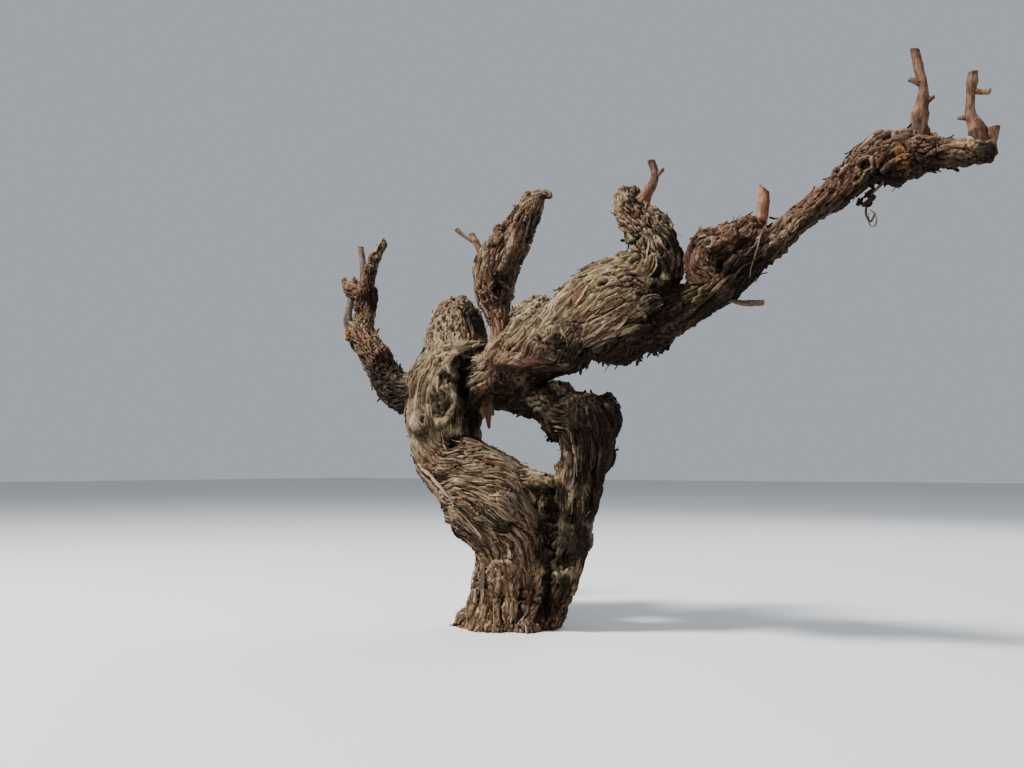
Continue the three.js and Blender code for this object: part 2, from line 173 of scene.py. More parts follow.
# Burrs that swell out of the limbs, each as its centre and its three half axes
BURRS = [
    (-34, -22, 0, 18, 17, 18), (-30, 28, 0, 18, 18, 22), (6, -40, 0, 20, 15, 20), (12, 42, 0, 22, 16, 20),
    (42, -18, 0, 15, 18, 16), (44, 28, 0, 15, 15, 18), (-56, -38, 190, 22, 18, 18),
    (20, -40, 140, 22, 20, 26), (-100, -36, 250, 26, 18, 20), (-62, -30, 318, 20, 18, 20),
    (-118, -20, 304, 20, 20, 22), (43, -14, 372, 27, 20, 22), (52, -8, 390, 13, 12, 14),
    (196, -30, 352, 24, 26, 24), (168, -40, 392, 26, 24, 22), (158, -10, 328, 32, 26, 18),
    (174, -12, 418, 26, 24, 20), (70, 6, 280, 20, 20, 15), (464, -4, 482, 14, 13, 15),
    (473, -12, 490, 8, 9, 12), (-265, -4, 381, 9, 7, 11), (541, 8, 487, 8, 9, 8),
    (-2, -6, 492, 11, 10, 9), (214, -30, 446, 14, 14, 10), (188, -28, 486, 12, 12, 9),
    (-239, 4, 474, 10, 9, 8), (-230, 5, 490, 8, 8, 7), (-252, 4, 420, 12, 11, 9), (-222, 5, 505, 6, 6, 6),
    (58, 8, 168, 14, 11, 14),
]

# How far the grain winds round a limb, in turns at each station. Other lines wind evenly.
WINDINGS = {
    "stem": (0, 0, 0.01, 0.02, 0.05, 0.15, 0.3, 0.4, 0.44, 0.44, 0.46, 0.46, 0.48, 0.5, 0.52),
    "main": (0, 0.02, 0.05, 0.1, 0.17, 0.23, 0.3, 0.36, 0.42, 0.46, 0.5, 0.55, 0.6, 0.64, 0.68, 0.72,
             0.76, 0.8, 0.84, 0.88),
}
EVEN_WINDING = 0.0012

# Width of the bark plates on each line, as a share of those on the trunk
PLATE_SHARES = {"stem": 0.85, "fork": 0.95, "web": 0.95, "main": 0.9, "return": 0.7, "left": 0.65,
                "middle": 0.65, "curled": 0.65}
SMALL_PLATE_SHARE = 0.5

# Limbs slimmer than about this have smaller plates still. Where that starts wavers with a noise that
# has this strength, size and salt.
SLIM_LIMB = 24
SLIM_WAVER = (5, 20, 98)
SLIM_SHARE = 0.6

# The cleft between the two stems, a little wider than in the solids, and the furrows in the bark below
CLEFT_LINE = [
    (68, -9, 178, 7), (70, -11, 156, 13), (70, -13, 131, 15), (70, -14, 111, 12), (72, -15, 90, 9),
    (71, -17, 67, 8), (68, -16, 44, 7), (62, -8, 19, 6), (57, -6, -6, 7),
]
# The recess between the head and the main bough
RECESS_LINE = [
    (-42, -38, 332, 4), (-44, -34, 317, 8), (-46, -29, 299, 10), (-44, -25, 279, 9), (-52, -8, 258, 6),
]
FURROWED = {
    "stem": (0.9, 3.6, (0.4, 1.2, 1.9, 2.5, 3.0, 3.6, 4.1, 4.7, 5.4, 6.0)),
    "fork": (0.8, 2.7, (0.5, 1.7, 3.2, 4.6)),
}
FURROW_WIDTHS = (2, 4.5, 5, 4, 2)
FURROW_SWAY = 0.1

# Knots and scars: centre, radius, how deep the wood is hollowed, how high the callus rolls up round it,
# and how many times longer than wide it is
KNOTS = [
    (-72, -45, 273, 18, 6, 1.4, 1.15),
    (-64, -43, 304, 12, 5, 1.4, 1.1),
    (-59, -32, 249, 5, 4, 1.0, 1.7),
    (-94, -53, 252, 4, 3, 0.6, 1.4),
    (-110, 50, 282, 15, 6, 2.8, 1.2),
    (-61, 5, 402, 7, 8, 0.5, 1.6),
    (45, -18, 396, 8, 2, 1.2, 1.0),
    (98, -42, 338, 12, 4, 3.4, 1.0),
    (60, 40, 360, 13, 5, 2.4, 1.2),
    (174, -63, 393, 4, 5, 1.2, 2.8),
    (186, -46, 412, 6, 4, 2.2, 1.8),
    (192, -58, 393, 4, 6, 0.8, 1.8),
    (176, 46, 380, 15, 5, 2.8, 1.2),
    (227, -45, 404, 8, 3, 2.2, 1.4),
    (228, -26, 463, 7, 1, 2.0, 1.5),
    (238, -36, 436, 5, 1, 1.8, 1.2),
    (284, -40, 429, 4.5, 2.2, 1.4, 1.4),
    (104, -17, 139, 7, 4, 2.2, 2.6),
    (90, -15, 85, 9, 1.5, 1.6, 2.0),
    (-20, 52, 140, 14, 5, 2.6, 1.3),
    (24, -47, 96, 9, 3, 1.4, 1.6),
    (441, -29, 486, 6.5, 9, 0.8, 1.2),
    (433, -27, 474, 4.5, 3, 1.6, 1.4),
    (-266, -11, 382, 7, 1, 1.6, 1.4),
    (-6, -9, 414, 7, 5, 1.0, 1.7),
    (-26, -12, 408, 4, 3, 0.6, 1.6),
    (8, -17, 440, 6, 1.5, 2.2, 1.3),
    (470, 26, 500, 8, 4, 1.6, 1.3),
    (-225, -7, 362, 6, 2, 1.8, 1.4),
    (134, 4, 278, 9, 2, 1.2, 1.0),
    (488, 4, 512, 9, 0, 2.4, 1.0),
    (540, 14, 502, 9, 0, 2.0, 1.0),
    (331, -16, 440, 6, 0, 2.2, 1.0),
]
# The grain runs round a knot out to this many of its radii. The bend is full between the core and the
# place where it starts to fade.
KNOT_REACH = 4.0
KNOT_CORE = 0.4
KNOT_FADE = 1.5

# Patches of the bark, each a ball with its centre and reach. First the cracked dead wood:
WARTY_PATCHES = [
    (-86, 5, 396, 44), (-70, -50, 276, 22), (-64, -46, 304, 16), (48, -14, 388, 36), (80, -34, 348, 26),
    (22, -30, 340, 22), (228, -36, 398, 28), (58, -14, 176, 22), (-205, 0, 318, 26), (24, -46, 96, 14),
    (-273, 4, 444, 22), (66, 0, 276, 34), (-96, 44, 300, 34), (170, 34, 396, 36), (10, 44, 150, 36),
    (462, -14, 482, 22), (-252, 6, 404, 26), (-20, 4, 445, 26), (280, -20, 446, 24), (92, -14, 90, 18),
    (-90, -14, 380, 46), (4, -28, 296, 26), (30, -26, 290, 26), (58, -16, 294, 24),
]
# Thick flakes like slates
BLOCKY_PATCHES = [
    (-88, 5, 412, 22), (200, -24, 440, 62), (186, -22, 480, 40), (292, -20, 424, 52), (-14, 4, 450, 60),
    (14, 4, 500, 44), (-215, 6, 335, 56), (-250, 8, 420, 52), (-225, 8, 500, 40), (470, 0, 492, 56),
    (400, -16, 462, 40), (350, -16, 428, 44), (20, -44, 76, 26), (-10, -46, 44, 22), (44, -24, 34, 22),
    (40, 30, 60, 40), (120, 0, 262, 44), (196, -10, 336, 44), (60, 10, 268, 40), (20, 40, 330, 50),
    (534, 10, 490, 34),
]
# Weathered wood that has lost its bark
BARE_PATCHES = [
    (-84, -46, 280, 62), (-104, -40, 235, 40), (-88, -40, 325, 40), (50, -20, 385, 34), (34, -24, 350, 30),
    (96, -34, 372, 40), (122, -42, 388, 42), (152, -40, 410, 40), (182, -30, 430, 34), (168, -56, 400, 26),
    (-110, 46, 280, 40), (92, -22, 135, 30), (92, -20, 100, 26), (48, -14, 268, 20), (60, -14, 178, 22),
    (20, -36, 322, 22), (50, -38, 318, 22), (78, -32, 314, 20), (-12, -6, 352, 26), (106, -12, 60, 26),
    (-92, -38, 330, 26), (-56, -30, 344, 22), (-98, -34, 178, 20), (-74, -42, 162, 18), (-44, -50, 142, 18),
    (-14, -54, 120, 16), (18, -20, 478, 18), (12, -18, 456, 14), (114, 0, 292, 24), (136, -2, 282, 20),
]
# Reddish inner bark
RED_PATCHES = [
    (-12, -10, 400, 60), (130, 0, 230, 40), (20, -34, 318, 34), (44, -34, 318, 34), (68, -30, 314, 32),
    (134, -58, 384, 20), (190, -30, 330, 40), (-80, -38, 190, 34), (-230, 0, 350, 60), (200, -34, 470, 22),
    (60, -10, 30, 40), (286, -20, 420, 58), (316, -24, 424, 50), (470, -10, 484, 60),
    (400, -16, 462, 50), (-14, -14, 276, 24), (-250, 8, 440, 50), (300, -26, 392, 26),
    (12, -10, 476, 40),
]
# Warm brown bark
RUST_PATCHES = [
    (10, -40, 60, 70), (40, -30, 90, 40), (480, -10, 490, 50), (420, -14, 476, 50), (320, -18, 436, 30),
    (-10, -50, 20, 60), (0, 30, 60, 80), (160, 10, 330, 60), (530, 10, 495, 40),
]
# Bark with a green film
GREEN_PATCHES = [
    (265, -22, 370, 28), (232, -36, 384, 16), (78, -14, 176, 16), (440, -24, 470, 12), (104, -17, 136, 14),
    (114, 0, 292, 16), (145, -60, 375, 10), (122, -51, 362, 11), (167, -63, 389, 9), (34, -33, 356, 13),
    (10, -28, 342, 12), (180, -34, 423, 15), (164, -46, 405, 13), (192, -30, 434, 12), (224, -45, 402, 9),
]
# Painted shade: bark darkened in the shaded places
PAINTED_SHADE_PATCHES = [
    (118, 8, 240, 70), (66, 10, 262, 60), (96, 6, 268, 44), (150, -10, 312, 56), (190, -10, 324, 52),
    (74, -12, 140, 26), (66, -14, 90, 22), (62, -8, 30, 22), (238, -20, 372, 36), (246, -20, 440, 22),
    (-42, -4, 262, 40), (-40, -8, 292, 30), (-246, 16, 430, 30), (-60, -10, 215, 32), (-22, 5, 418, 18),
    (320, -14, 396, 44), (280, -10, 358, 40), (456, -10, 472, 26), (-190, 6, 296, 34), (122, 4, 190, 44),
    (126, 4, 140, 34), (114, 8, 90, 24), (306, -28, 402, 20), (200, -30, 462, 14),
    (-150, 2, 282, 34), (-175, -2, 288, 34), (-200, 14, 326, 40), (546, 8, 486, 18), (78, -16, 110, 26),
    (74, -18, 84, 16), (71, -19, 58, 14), (112, -12, 112, 32), (84, -14, 160, 26), (-158, -14, 282, 26),
    (104, -14, 136, 22), (98, -14, 88, 18), (94, -12, 56, 18), (70, -14, 124, 30), (66, -12, 166, 18),
    (-52, 0, 384, 26), (-45, -34, 320, 18), (-46, -29, 300, 22), (-44, -25, 279, 22),
    (-54, -4, 255, 22), (20, -22, 284, 30), (56, -14, 288, 26), (24, 4, 262, 32), (66, -6, 237, 34),
    (-171, -17, 289, 34), (-205, -14, 312, 30), (464, -10, 470, 22), (128, -8, 246, 40),
    (226, -38, 376, 20), (224, -38, 352, 24), (206, -34, 326, 30), (176, -36, 318, 26), (240, -26, 388, 16),
    (160, -40, 318, 18), (200, -38, 446, 12), (199, -40, 489, 12), (228, -44, 408, 18),
    (135, -16, 237, 26), (126, -19, 222, 22), (88, -18, 257, 20),
]
# Places that stay lit among the dark ones
LIT_PATCHES = [
    (52, -16, 272, 18), (112, 2, 292, 30), (82, 6, 288, 22), (66, -14, 270, 12), (150, -34, 424, 34),
    (50, -14, 400, 24), (30, -36, 322, 26), (66, -32, 320, 24), (-104, -30, 180, 26), (-60, -46, 152, 26),
    (-20, -46, 124, 24), (-30, -40, 24, 36), (0, -46, 30, 34), (-100, -46, 270, 36), (-104, -40, 300, 30),
    (225, -41, 452, 24), (301, -35, 428, 24), (287, -36, 421, 16),
]
# Pale specks of lichen
LICHEN_PATCHES = [
    (-84, -20, 360, 60), (50, -12, 385, 40), (95, -30, 360, 50), (-20, -20, 330, 40), (150, -30, 420, 40),
    (-120, 20, 300, 60), (460, -10, 500, 30), (330, -10, 430, 40), (-200, 0, 330, 40), (0, 40, 130, 60),
    (-104, -46, 270, 44), (-104, -40, 320, 44),
]
# Raw wood where the bark has broken off
RAW_PATCHES = [(475, -21, 497, 9), (473, -18, 484, 9), (-266, -11, 382, 11), (36, -8, 510, 8)]

# Where dark shreds hang under the limbs
SHRED_PATCHES = [
    (150, -20, 315, 60), (190, -10, 322, 60), (120, -10, 318, 50), (60, 0, 305, 44), (30, 10, 262, 40),
    (90, 0, 235, 40), (-10, -10, 284, 30), (250, -12, 352, 34), (452, -12, 472, 34), (-190, 6, 290, 44),
    (-46, -4, 236, 30), (-12, 0, 424, 30), (330, -14, 404, 44), (185, -20, 450, 40),
    (90, -14, 300, 40), (66, 0, 240, 34), (500, 6, 482, 30), (196, -34, 440, 26), (220, -30, 340, 40),
]
# Where short flakes stand on the limbs
JAGGED_PATCHES = [
    (-180, 8, 318, 50), (-230, 8, 370, 50), (-250, 8, 440, 50), (-14, 4, 450, 60), (16, 4, 500, 40),
    (200, -24, 460, 60), (290, -20, 440, 50), (350, -16, 440, 60), (440, -10, 500, 70), (500, 4, 504, 50),
    (130, -20, 410, 60), (-88, 8, 400, 40), (110, 0, 290, 50), (40, 8, 290, 50),
]

# The patches that only colour the bark, each kind with the salt of its ragged edges
COLOUR_PATCHES = {
    "red": (RED_PATCHES, 60),
    "rust": (RUST_PATCHES, 56),
    "green": (GREEN_PATCHES, 58),
    "lichen": (LICHEN_PATCHES, 64),
    "raw": (RAW_PATCHES, 66),
}

# Broad strips that have peeled in one piece: the places they run through, their half width and their
# colour. A strip hangs free where its places stand well off the bark.
PEELINGS = [
    # Boards on the left stem
    ([(-112, -34, 197), (-84, -41, 179), (-50, -51, 157), (-36, -54, 146)], 2.6, "pale"),
    ([(-44, -53, 150), (-21, -57, 134), (4, -54, 112)], 2.0, "pale"),
    ([(-90, -38, 174), (-60, -47, 150), (-30, -54, 129), (2, -53, 107)], 1.8, "grey"),
    # Along the knuckle
    ([(92, -46, 362), (108, -50, 372), (124, -52, 384)], 2.0, "grey"),
    ([(132, -56, 376), (148, -56, 388), (162, -54, 402)], 1.8, "pale"),
    # Up the middle bough
    ([(30, -9, 468), (34, -8, 490), (38, -6, 512)], 1.8, "grey"),
    # Down the trunk
    ([(2, -52, 76), (-4, -46, 44), (-6, -46, 14)], 2.6, "grey"),
    ([(-16, -46, 70), (-22, -44, 40), (-28, -42, 14)], 2.2, "pale"),
    ([(24, -46, 62), (28, -38, 38), (34, -32, 12)], 2.2, "tan"),
    # Under the main bough
    ([(258, -26, 360), (280, -29, 372), (300, -30, 384)], 1.2, "umber"),
    ([(296, -32, 388), (318, -30, 400), (340, -30, 412)], 1.0, "brown"),
    # The flap under the head
    ([(-29, -19, 286), (-28, -21, 270), (-26, -22, 258)], 2.8, "dark"),
    ([(-24, -19, 288), (-22, -21, 268), (-20, -23, 252)], 3.6, "brown"),
    ([(-18, -19, 290), (-15, -21, 268), (-12, -23, 248), (-11, -23, 240)], 4.4, "umber"),
    ([(-12, -18, 290), (-9, -20, 272), (-6, -22, 256)], 3.8, "umber"),
    ([(-8, -17, 288), (-5, -19, 274), (-4, -20, 264)], 2.6, "dark"),
    # The lip under the knuckle
    ([(167, -56, 333), (186, -54, 339), (203, -52, 343), (216, -42, 347)], 2.6, "grey"),
    ([(174, -55, 338), (192, -54, 344), (208, -50, 348)], 1.8, "tan"),
    # The split in the curled bough
    ([(200, -40, 452), (194, -40, 442), (192, -40, 434)], 2.2, "dark"),
    ([(204, -42, 448), (201, -42, 440), (203, -42, 432)], 1.8, "umber"),
    # The thin strip beside the elbow
    ([(344, -28, 448), (334, -30, 418), (324, -28, 388)], 0.7, "grey"),
    # The tangle under the end of the arm
    ([(444, -9, 463), (437, -11, 458), (429, -10, 452)], 3.2, "dark"),
    ([(446, -8, 460), (440, -12, 453), (434, -12, 450)], 3.0, "umber"),
    ([(439, -9, 462), (442, -8, 455), (439, -13, 448)], 2.6, "dark"),
    ([(431, -9, 456), (436, -8, 451), (442, -10, 451)], 2.4, "dark"),
    (
        [(441, -9, 446), (446, -10, 440), (447, -9, 432), (443, -9, 427), (439, -9, 433), (440, -9, 444)],
        0.8,
        "grey",
    ),
    # On the left bough
    ([(-242, 18, 452), (-238, 17, 438), (-237, 15, 424)], 1.8, "dark"),
    ([(-229, -6, 369), (-225, -9, 362), (-222, -10, 356)], 1.6, "tan"),
    ([(-229, 3, 494), (-222, 2, 506), (-216, 2, 517)], 2.4, "pale"),
    ([(-240, 2, 474), (-234, 0, 486), (-230, -2, 492)], 1.8, "tan"),
    # Round the foot and the top of the middle bough
    ([(-40, -2, 372), (-36, -8, 362), (-22, -10, 350)], 1.8, "dark"),
    ([(6, -4, 372), (10, -2, 384), (6, 2, 396)], 1.2, "dark"),
    ([(28, -12, 516), (20, -13, 510), (16, -12, 500)], 2.4, "umber"),
]

# Spurs and twigs, each with its lines and how far its cut tip slants
SPURS = {
    "left_thin_spur": ([[(-253, 7, 456, 5.5), (-255, 6, 481, 4.6), (-260, 6, 509, 3.8)]], 0.2),
    "left_cane": (
        [[(-270, 2, 384, 8.5), (-275, -2, 402, 6.5), (-274, -1, 418, 5), (-272, 2, 437, 5.5)]],
        0.3,
    ),
    "middle_spur": ([[(-32, 2, 450, 7), (-42, -2, 473, 4.4), (-49, -3, 487, 4.2), (-54, -3, 496, 4)]], 0.3),
    "middle_twig": ([[(-49, -4, 484, 2.6), (-64, -7, 494, 2.1), (-75, -8, 504, 3.2)]], 0.2),
    "curled_spur": (
        [
            [(197, -24, 488, 8), (207, -24, 499, 6.5), (214, -24, 509, 5), (217, -24, 520, 4.4),
             (213, -24, 536, 4)],
            [(215, -24, 514, 3.4), (228, -24, 524, 2.2)],
        ],
        0.2,
    ),
    "elbow_spur": ([[(329, -16, 432, 5.5), (333, -15, 449, 6), (336, -15, 464, 6), (338, -15, 485, 5)]], 0.9),
    "tall_spur": (
        [
            [(488, 4, 500, 9.5), (487, 4, 524, 8.5), (488, 4, 538, 7.6), (491, 4, 551, 5.6),
             (492, 4, 566, 4.2), (489, 4, 582, 4.6), (486, 4, 604, 4.0)],
            [(490, 4, 569, 4.5), (480, 2, 574, 2.6)],
            [(493, 4, 549, 4.5), (502, 4, 552, 1.8)],
        ],
        0.5,
    ),
    "forked_spur": (
        [
            [(540, 14, 492, 9), (536, 14, 516, 7.5), (531, 14, 530, 4.8), (532, 14, 548, 3.8),
             (534, 14, 561, 4.8), (535, 14, 572, 4.2)],
            [(533, 14, 554, 3.8), (542, 13, 550, 3.0), (549, 13, 549, 3.6)],
            [(533, 14, 527, 4.2), (520, 12, 529, 2)],
        ],
        -0.15,
    ),
    "end_stub": ([[(543, 15, 492, 8), (547, 16, 506, 6), (549, 16, 514, 5.6)]], -0.4),
    "twig_stub": ([[(262, -8, 371, 3), (292, -9, 371, 2), (310, -9, 366, 3), (332, -9, 364, 3.2)]], 0.1),
    "tendril": (
        [[(458, -6, 484, 1.8), (453, -8, 471, 1.4), (442, -9, 460, 1.3), (437, -9, 443, 1.1),
          (441, -9, 434, 1), (446, -9, 442, 0.9)]],
        0,
    ),
}

OLD_SPURS = ("left_thin_spur", "left_cane")
DEAD_SPURS = ("middle_twig", "twig_stub", "tendril")

# The camera stands low beside the row, as far away as the photograph was taken from
CAMERA_PLACE = (0.6342, -0.9292, 0.1915)
CAMERA_TURN = 34.0
CAMERA_TILT = 5.33
FOCAL_PIXELS = 900
PICTURE_WIDTH = 1024
SENSOR_WIDTH = 36
CLIP_START = 0.05


def unit(vectors):
    """Vectors of length one in the same directions."""
    return vectors / np.maximum(np.linalg.norm(vectors, axis=-1, keepdims=True), 1e-9)


def fade(values, start, end):
    """0 before start and 1 after end, with a smooth change between them."""
    share = np.clip((values - start) / (end - start), 0, 1)
    return share * share * (3 - 2 * share)


# Repeatable randomness

CUBE_FACTORS = (73856093, 19349663, 83492791)
MIX_FACTOR = 1274126177
MIX_SHIFTS = (13, 16)
LAST_SHIFT = 19
HASH_STEPS = 1 << 20


def hashed(cubes, salt):
    """A random number from 0 to 1 for each cube of space, always the same for that cube and salt."""
    mixed = cubes @ np.array(CUBE_FACTORS) + salt * MIX_FACTOR
    for shift in MIX_SHIFTS:
        mixed = (mixed ^ (mixed >> shift)) * MIX_FACTOR
    return ((mixed ^ (mixed >> LAST_SHIFT)) % HASH_STEPS) / HASH_STEPS


def noise(places, salt):
    """Smooth random values from -1 to 1 that change over a distance of 1."""
    cubes = np.floor(places).astype(np.int64)
    inner = places - cubes
    ease = inner * inner * (3 - 2 * inner)
    total = np.zeros(len(places))
    for corner in itertools.product((0, 1), repeat=3):
        share = np.prod(np.where(corner, ease, 1 - ease), axis=1)
        total += share * hashed(cubes + np.array(corner), salt)
    return 2 * total - 1


def layered(values, places, layers):
    """Values with some layers of noise added, each with its strength, its size and its salt."""
    for strength, size, salt in layers:
        values = values + strength * noise(places / size, salt)
    return values


def nearest_cells(places, salt):
    """Cells round scattered centres, one to a cube: each place's cube, its offset from that centre, and
    by how much the next centre is farther."""
    cubes = np.floor(places).astype(np.int64)
    best = np.full(len(places), np.inf)
    second = np.full(len(places), np.inf)
    chosen = np.zeros_like(cubes)
    offset = np.zeros_like(places)
    for step in itertools.product((-1, 0, 1), repeat=3):
        candidate = cubes + np.array(step)
        centre = candidate + np.stack([hashed(candidate, salt + axis) for axis in range(3)], axis=1)
        away = places - centre
        gap = np.sqrt(np.einsum("ij,ij->i", away, away))
        nearer = gap < best
        second = np.where(nearer, best, np.minimum(second, gap))
        best = np.where(nearer, gap, best)
        chosen[nearer] = candidate[nearer]
        offset[nearer] = away[nearer]
    return chosen, offset, second - best


# Centre lines and sweeps

def smooth_curve(points, times, even):
    """Places and slopes of a smooth curve that passes each point at its own number.

    An even curve keeps one pace, and any other slows down where points lie close together.
    """
    ends = np.vstack([2 * points[0] - points[1], points, 2 * points[-1] - points[-2]])
    number = np.minimum(times.astype(int), len(points) - 2)
    before, start, end, after = (ends[number + step] for step in range(4))
    share = (times - number)[:, None]
    if even:
        leaving = (end - before) / 2
        arriving = (after - start) / 2
    else:
        first = np.sum((start - before) ** 2, axis=1, keepdims=True) ** 0.25
        middle = np.sum((end - start) ** 2, axis=1, keepdims=True) ** 0.25
        last = np.sum((after - end) ** 2, axis=1, keepdims=True) ** 0.25
        step = (end - start) / middle
        leaving = middle * ((start - before) / first - (end - before) / (first + middle) + step)
        arriving = middle * (step - (after - start) / (middle + last) + (after - end) / last)
    bend = 3 * (end - start) - 2 * leaving - arriving
    turn = 2 * (start - end) + leaving + arriving
    places = start + share * (leaving + share * (bend + share * turn))
    slopes = leaving + share * (2 * bend + 3 * share * turn)
    return places, slopes


def frames_along(stations, times):
    """Centres, the three directions and half widths of a line at some station numbers."""
    stations = np.array(stations, float)
    centres, slopes = smooth_curve(stations[:, :3], times, even=False)
    widths = smooth_curve(stations[:, 3:], times, even=True)[0][:, 0]
    tangents = unit(slopes)
    across = unit(np.array([0, 1, 0]) - tangents * tangents[:, 1:2])
    return SimpleNamespace(
        times=times,
        centres=centres,
        tangents=tangents,
        across=across,
        sides=np.cross(tangents, across),
        widths=widths,
    )


def walk_along(stations, gap, winding=None):
    """Frames about gap apart along a line, with the length walked and how far the grain has turned."""
    steps = np.linalg.norm(np.diff(np.array(stations)[:, :3], axis=0), axis=1)
    travelled = np.concatenate([[0], np.cumsum(steps)])
    count = math.ceil(travelled[-1] / gap) + 1
    times = np.interp(np.linspace(0, travelled[-1], count), travelled, np.arange(len(stations)))
    line = frames_along(stations, times)
    walked = np.linalg.norm(np.diff(line.centres, axis=0), axis=1)
    line.lengths = np.concatenate([[0], np.cumsum(walked)])
    turns = line.lengths * EVEN_WINDING
    if winding is not None:
        turns = np.interp(times, np.arange(len(winding)), winding)
    line.turns = turns * 2 * math.pi
    line.turning = np.gradient(line.turns, line.lengths)
    return line


def unevenness(places, angles, widths):
    """Share by which a big limb is fluted and gnarled at some places on it."""
    waves = [np.sin(places @ np.array(steepness) + phase) for steepness, phase in GNARL_WAVES]
    flute = np.cos(FLUTE_COUNT * (angles + FLUTE_TWIST * (places[..., 0] + places[..., 2])))
    strength = fade(widths, SMOOTH_RADIUS, ROUGH_RADIUS)
    return strength * (FLUTE_DEPTH * flute + GNARL_DEPTH * sum(waves) / len(waves))


def swept_places(line, angles, depth):
    """Places on the surface of a sweep, one for each of the line's frames and its own angle."""
    outward = line.sides * np.sin(angles)[:, None] + line.across * np.cos(angles)[:, None] * depth
    bare = line.centres + outward * line.widths[:, None]
    reach = line.widths * (1 + unevenness(bare, angles, line.widths))
    return line.centres + outward * reach[:, None]


def ring_faces(rings, sides):
    """Quads of a tube with its rings one after the other, as rows of four vertex numbers."""
    ring, side = np.meshgrid(np.arange(rings - 1), np.arange(sides), indexing="ij")
    following = (side + 1) % sides
    low, high = ring * sides, (ring + 1) * sides
    return np.stack([low + side, low + following, high + following, high + side], axis=-1).reshape(-1, 4)


def sweep(name):
    """Vertices and faces of a closed sweep along a barked line."""
    rings = walk_along(BARKED_LINES[name], RING_GAP)
    sides = max(LEAST_SIDES, round(2 * math.pi * rings.widths.max() / RING_GAP))
    angles = np.tile(np.arange(sides) / sides * 2 * math.pi, len(rings.times))
    line = frames_along(BARKED_LINES[name], np.repeat(rings.times, sides))
    places = swept_places(line, angles, DEPTHS.get(name, 1))
    faces = [tuple(face) for face in ring_faces(len(rings.times), sides).tolist()]
    faces.append(tuple(reversed(range(sides))))
    faces.append(tuple(range(len(places) - sides, len(places))))
    return places, faces


def furrow_lines():
    """Stations of the cleft, the recess and each furrow in the trunk's bark."""
    found = [CLEFT_LINE, RECESS_LINE]
    for name, (start, end, angles) in FURROWED.items():
        share = np.linspace(0, 1, len(FURROW_WIDTHS))
        line = frames_along(BARKED_LINES[name], start + (end - start) * share)
        for angle in angles:
            turned = angle + FURROW_SWAY * np.sin(2 * math.pi * share + angle * angle)
            places = swept_places(line, turned, DEPTHS.get(name, 1))
            found.append(np.column_stack([places, FURROW_WIDTHS]))
    return found


def burr(x, y, z, half_x, half_y, half_z):
    """Vertices and faces of a ball with three half axes."""
    ball = bmesh.new()
    bmesh.ops.create_icosphere(ball, subdivisions=4, radius=1)
    places = np.array([vertex.co for vertex in ball.verts]) * (half_x, half_y, half_z) + (x, y, z)
    faces = [tuple(vertex.index for vertex in face.verts) for face in ball.faces]
    ball.free()
    return places, faces


def joined(shapes):
    """Vertices and faces of several shapes as one."""
    places, faces, count = [], [], 0
    for own_places, own_faces in shapes:
        places.append(own_places)
        faces += [tuple(number + count for number in face) for face in own_faces]
        count += len(own_places)
    return np.concatenate(places), faces


def mesh_object(name, places, faces):
    """A new object from vertices in millimetres and faces."""
    mesh = bpy.data.meshes.new(name)
    mesh.from_pydata(places * MM, [], faces)
    obj = bpy.data.objects.new(name, mesh)
    bpy.context.scene.collection.objects.link(obj)
    return obj


# The skin of all the barked limbs together

def limb_skin():
    """One even skin of quads over all the barked limbs: its vertices and faces."""
    shapes = [sweep(name) for name in BARKED_LINES] + [burr(*size) for size in BURRS]
    places, faces = joined(shapes)
    places[:, 2] = np.maximum(places[:, 2], -VOXEL)
    rough = mesh_object("rough_limbs", places, faces)
    remesh = rough.modifiers.new("even", "REMESH")
    remesh.mode = "VOXEL"
    remesh.voxel_size = VOXEL * MM
    remesh.adaptivity = 0
    evaluated = rough.evaluated_get(bpy.context.evaluated_depsgraph_get())
    mesh = evaluated.to_mesh()
    skin = np.empty(len(mesh.vertices) * 3)
    mesh.vertices.foreach_get("co", skin)
    quads = np.empty(len(mesh.loops), np.int32)
    mesh.loops.foreach_get("vertex_index", quads)
    evaluated.to_mesh_clear()
    bpy.data.objects.remove(rough)
    return skin.reshape(-1, 3) / MM, quads.reshape(-1, 4)


def quad_links(quads):
    """Each edge of the quads once, as two arrays of vertex numbers."""
    edges = np.concatenate([quads[:, [side, (side + 1) % 4]] for side in range(4)])
    edges = np.unique(np.sort(edges, axis=1), axis=0)
    return edges[:, 0], edges[:, 1]


def neighbour_mean(values, links):
    """Mean of the values at the neighbours of each vertex."""
    first, second = links
    count = len(values)
    number = np.bincount(first, minlength=count) + np.bincount(second, minlength=count)
    columns = values.reshape(count, -1)
    means = np.empty_like(columns)
    for column in range(columns.shape[1]):
        total = np.bincount(first, columns[second, column], count)
        total += np.bincount(second, columns[first, column], count)
        means[:, column] = total / number
    return means.reshape(values.shape)


def smoothed(values, links, rounds):
    """Values after some rounds in which each vertex moves halfway to its neighbours' mean."""
    for _ in range(rounds):
        values = (values + neighbour_mean(values, links)) / 2
    return values


def vertex_normals(places, quads):
    """Outward directions at the vertices."""
    a, b, c, d = (places[quads[:, corner]] for corner in range(4))
    facing = np.cross(c - a, d - b)
    total = np.zeros_like(places)
    for corner in range(4):
        for axis in range(3):
            total[:, axis] += np.bincount(quads[:, corner], facing[:, axis], len(places))
    return unit(total)


# Layers of noise in the width of what is carved, how far in from its edge it is fully deep, and the
# heights between which it sets in above the ground
CARVING_LAYERS = ((0.3, 9, 80), (0.2, 4, 81))
CARVING_EDGE = 3
CARVING_START = (2, 18)


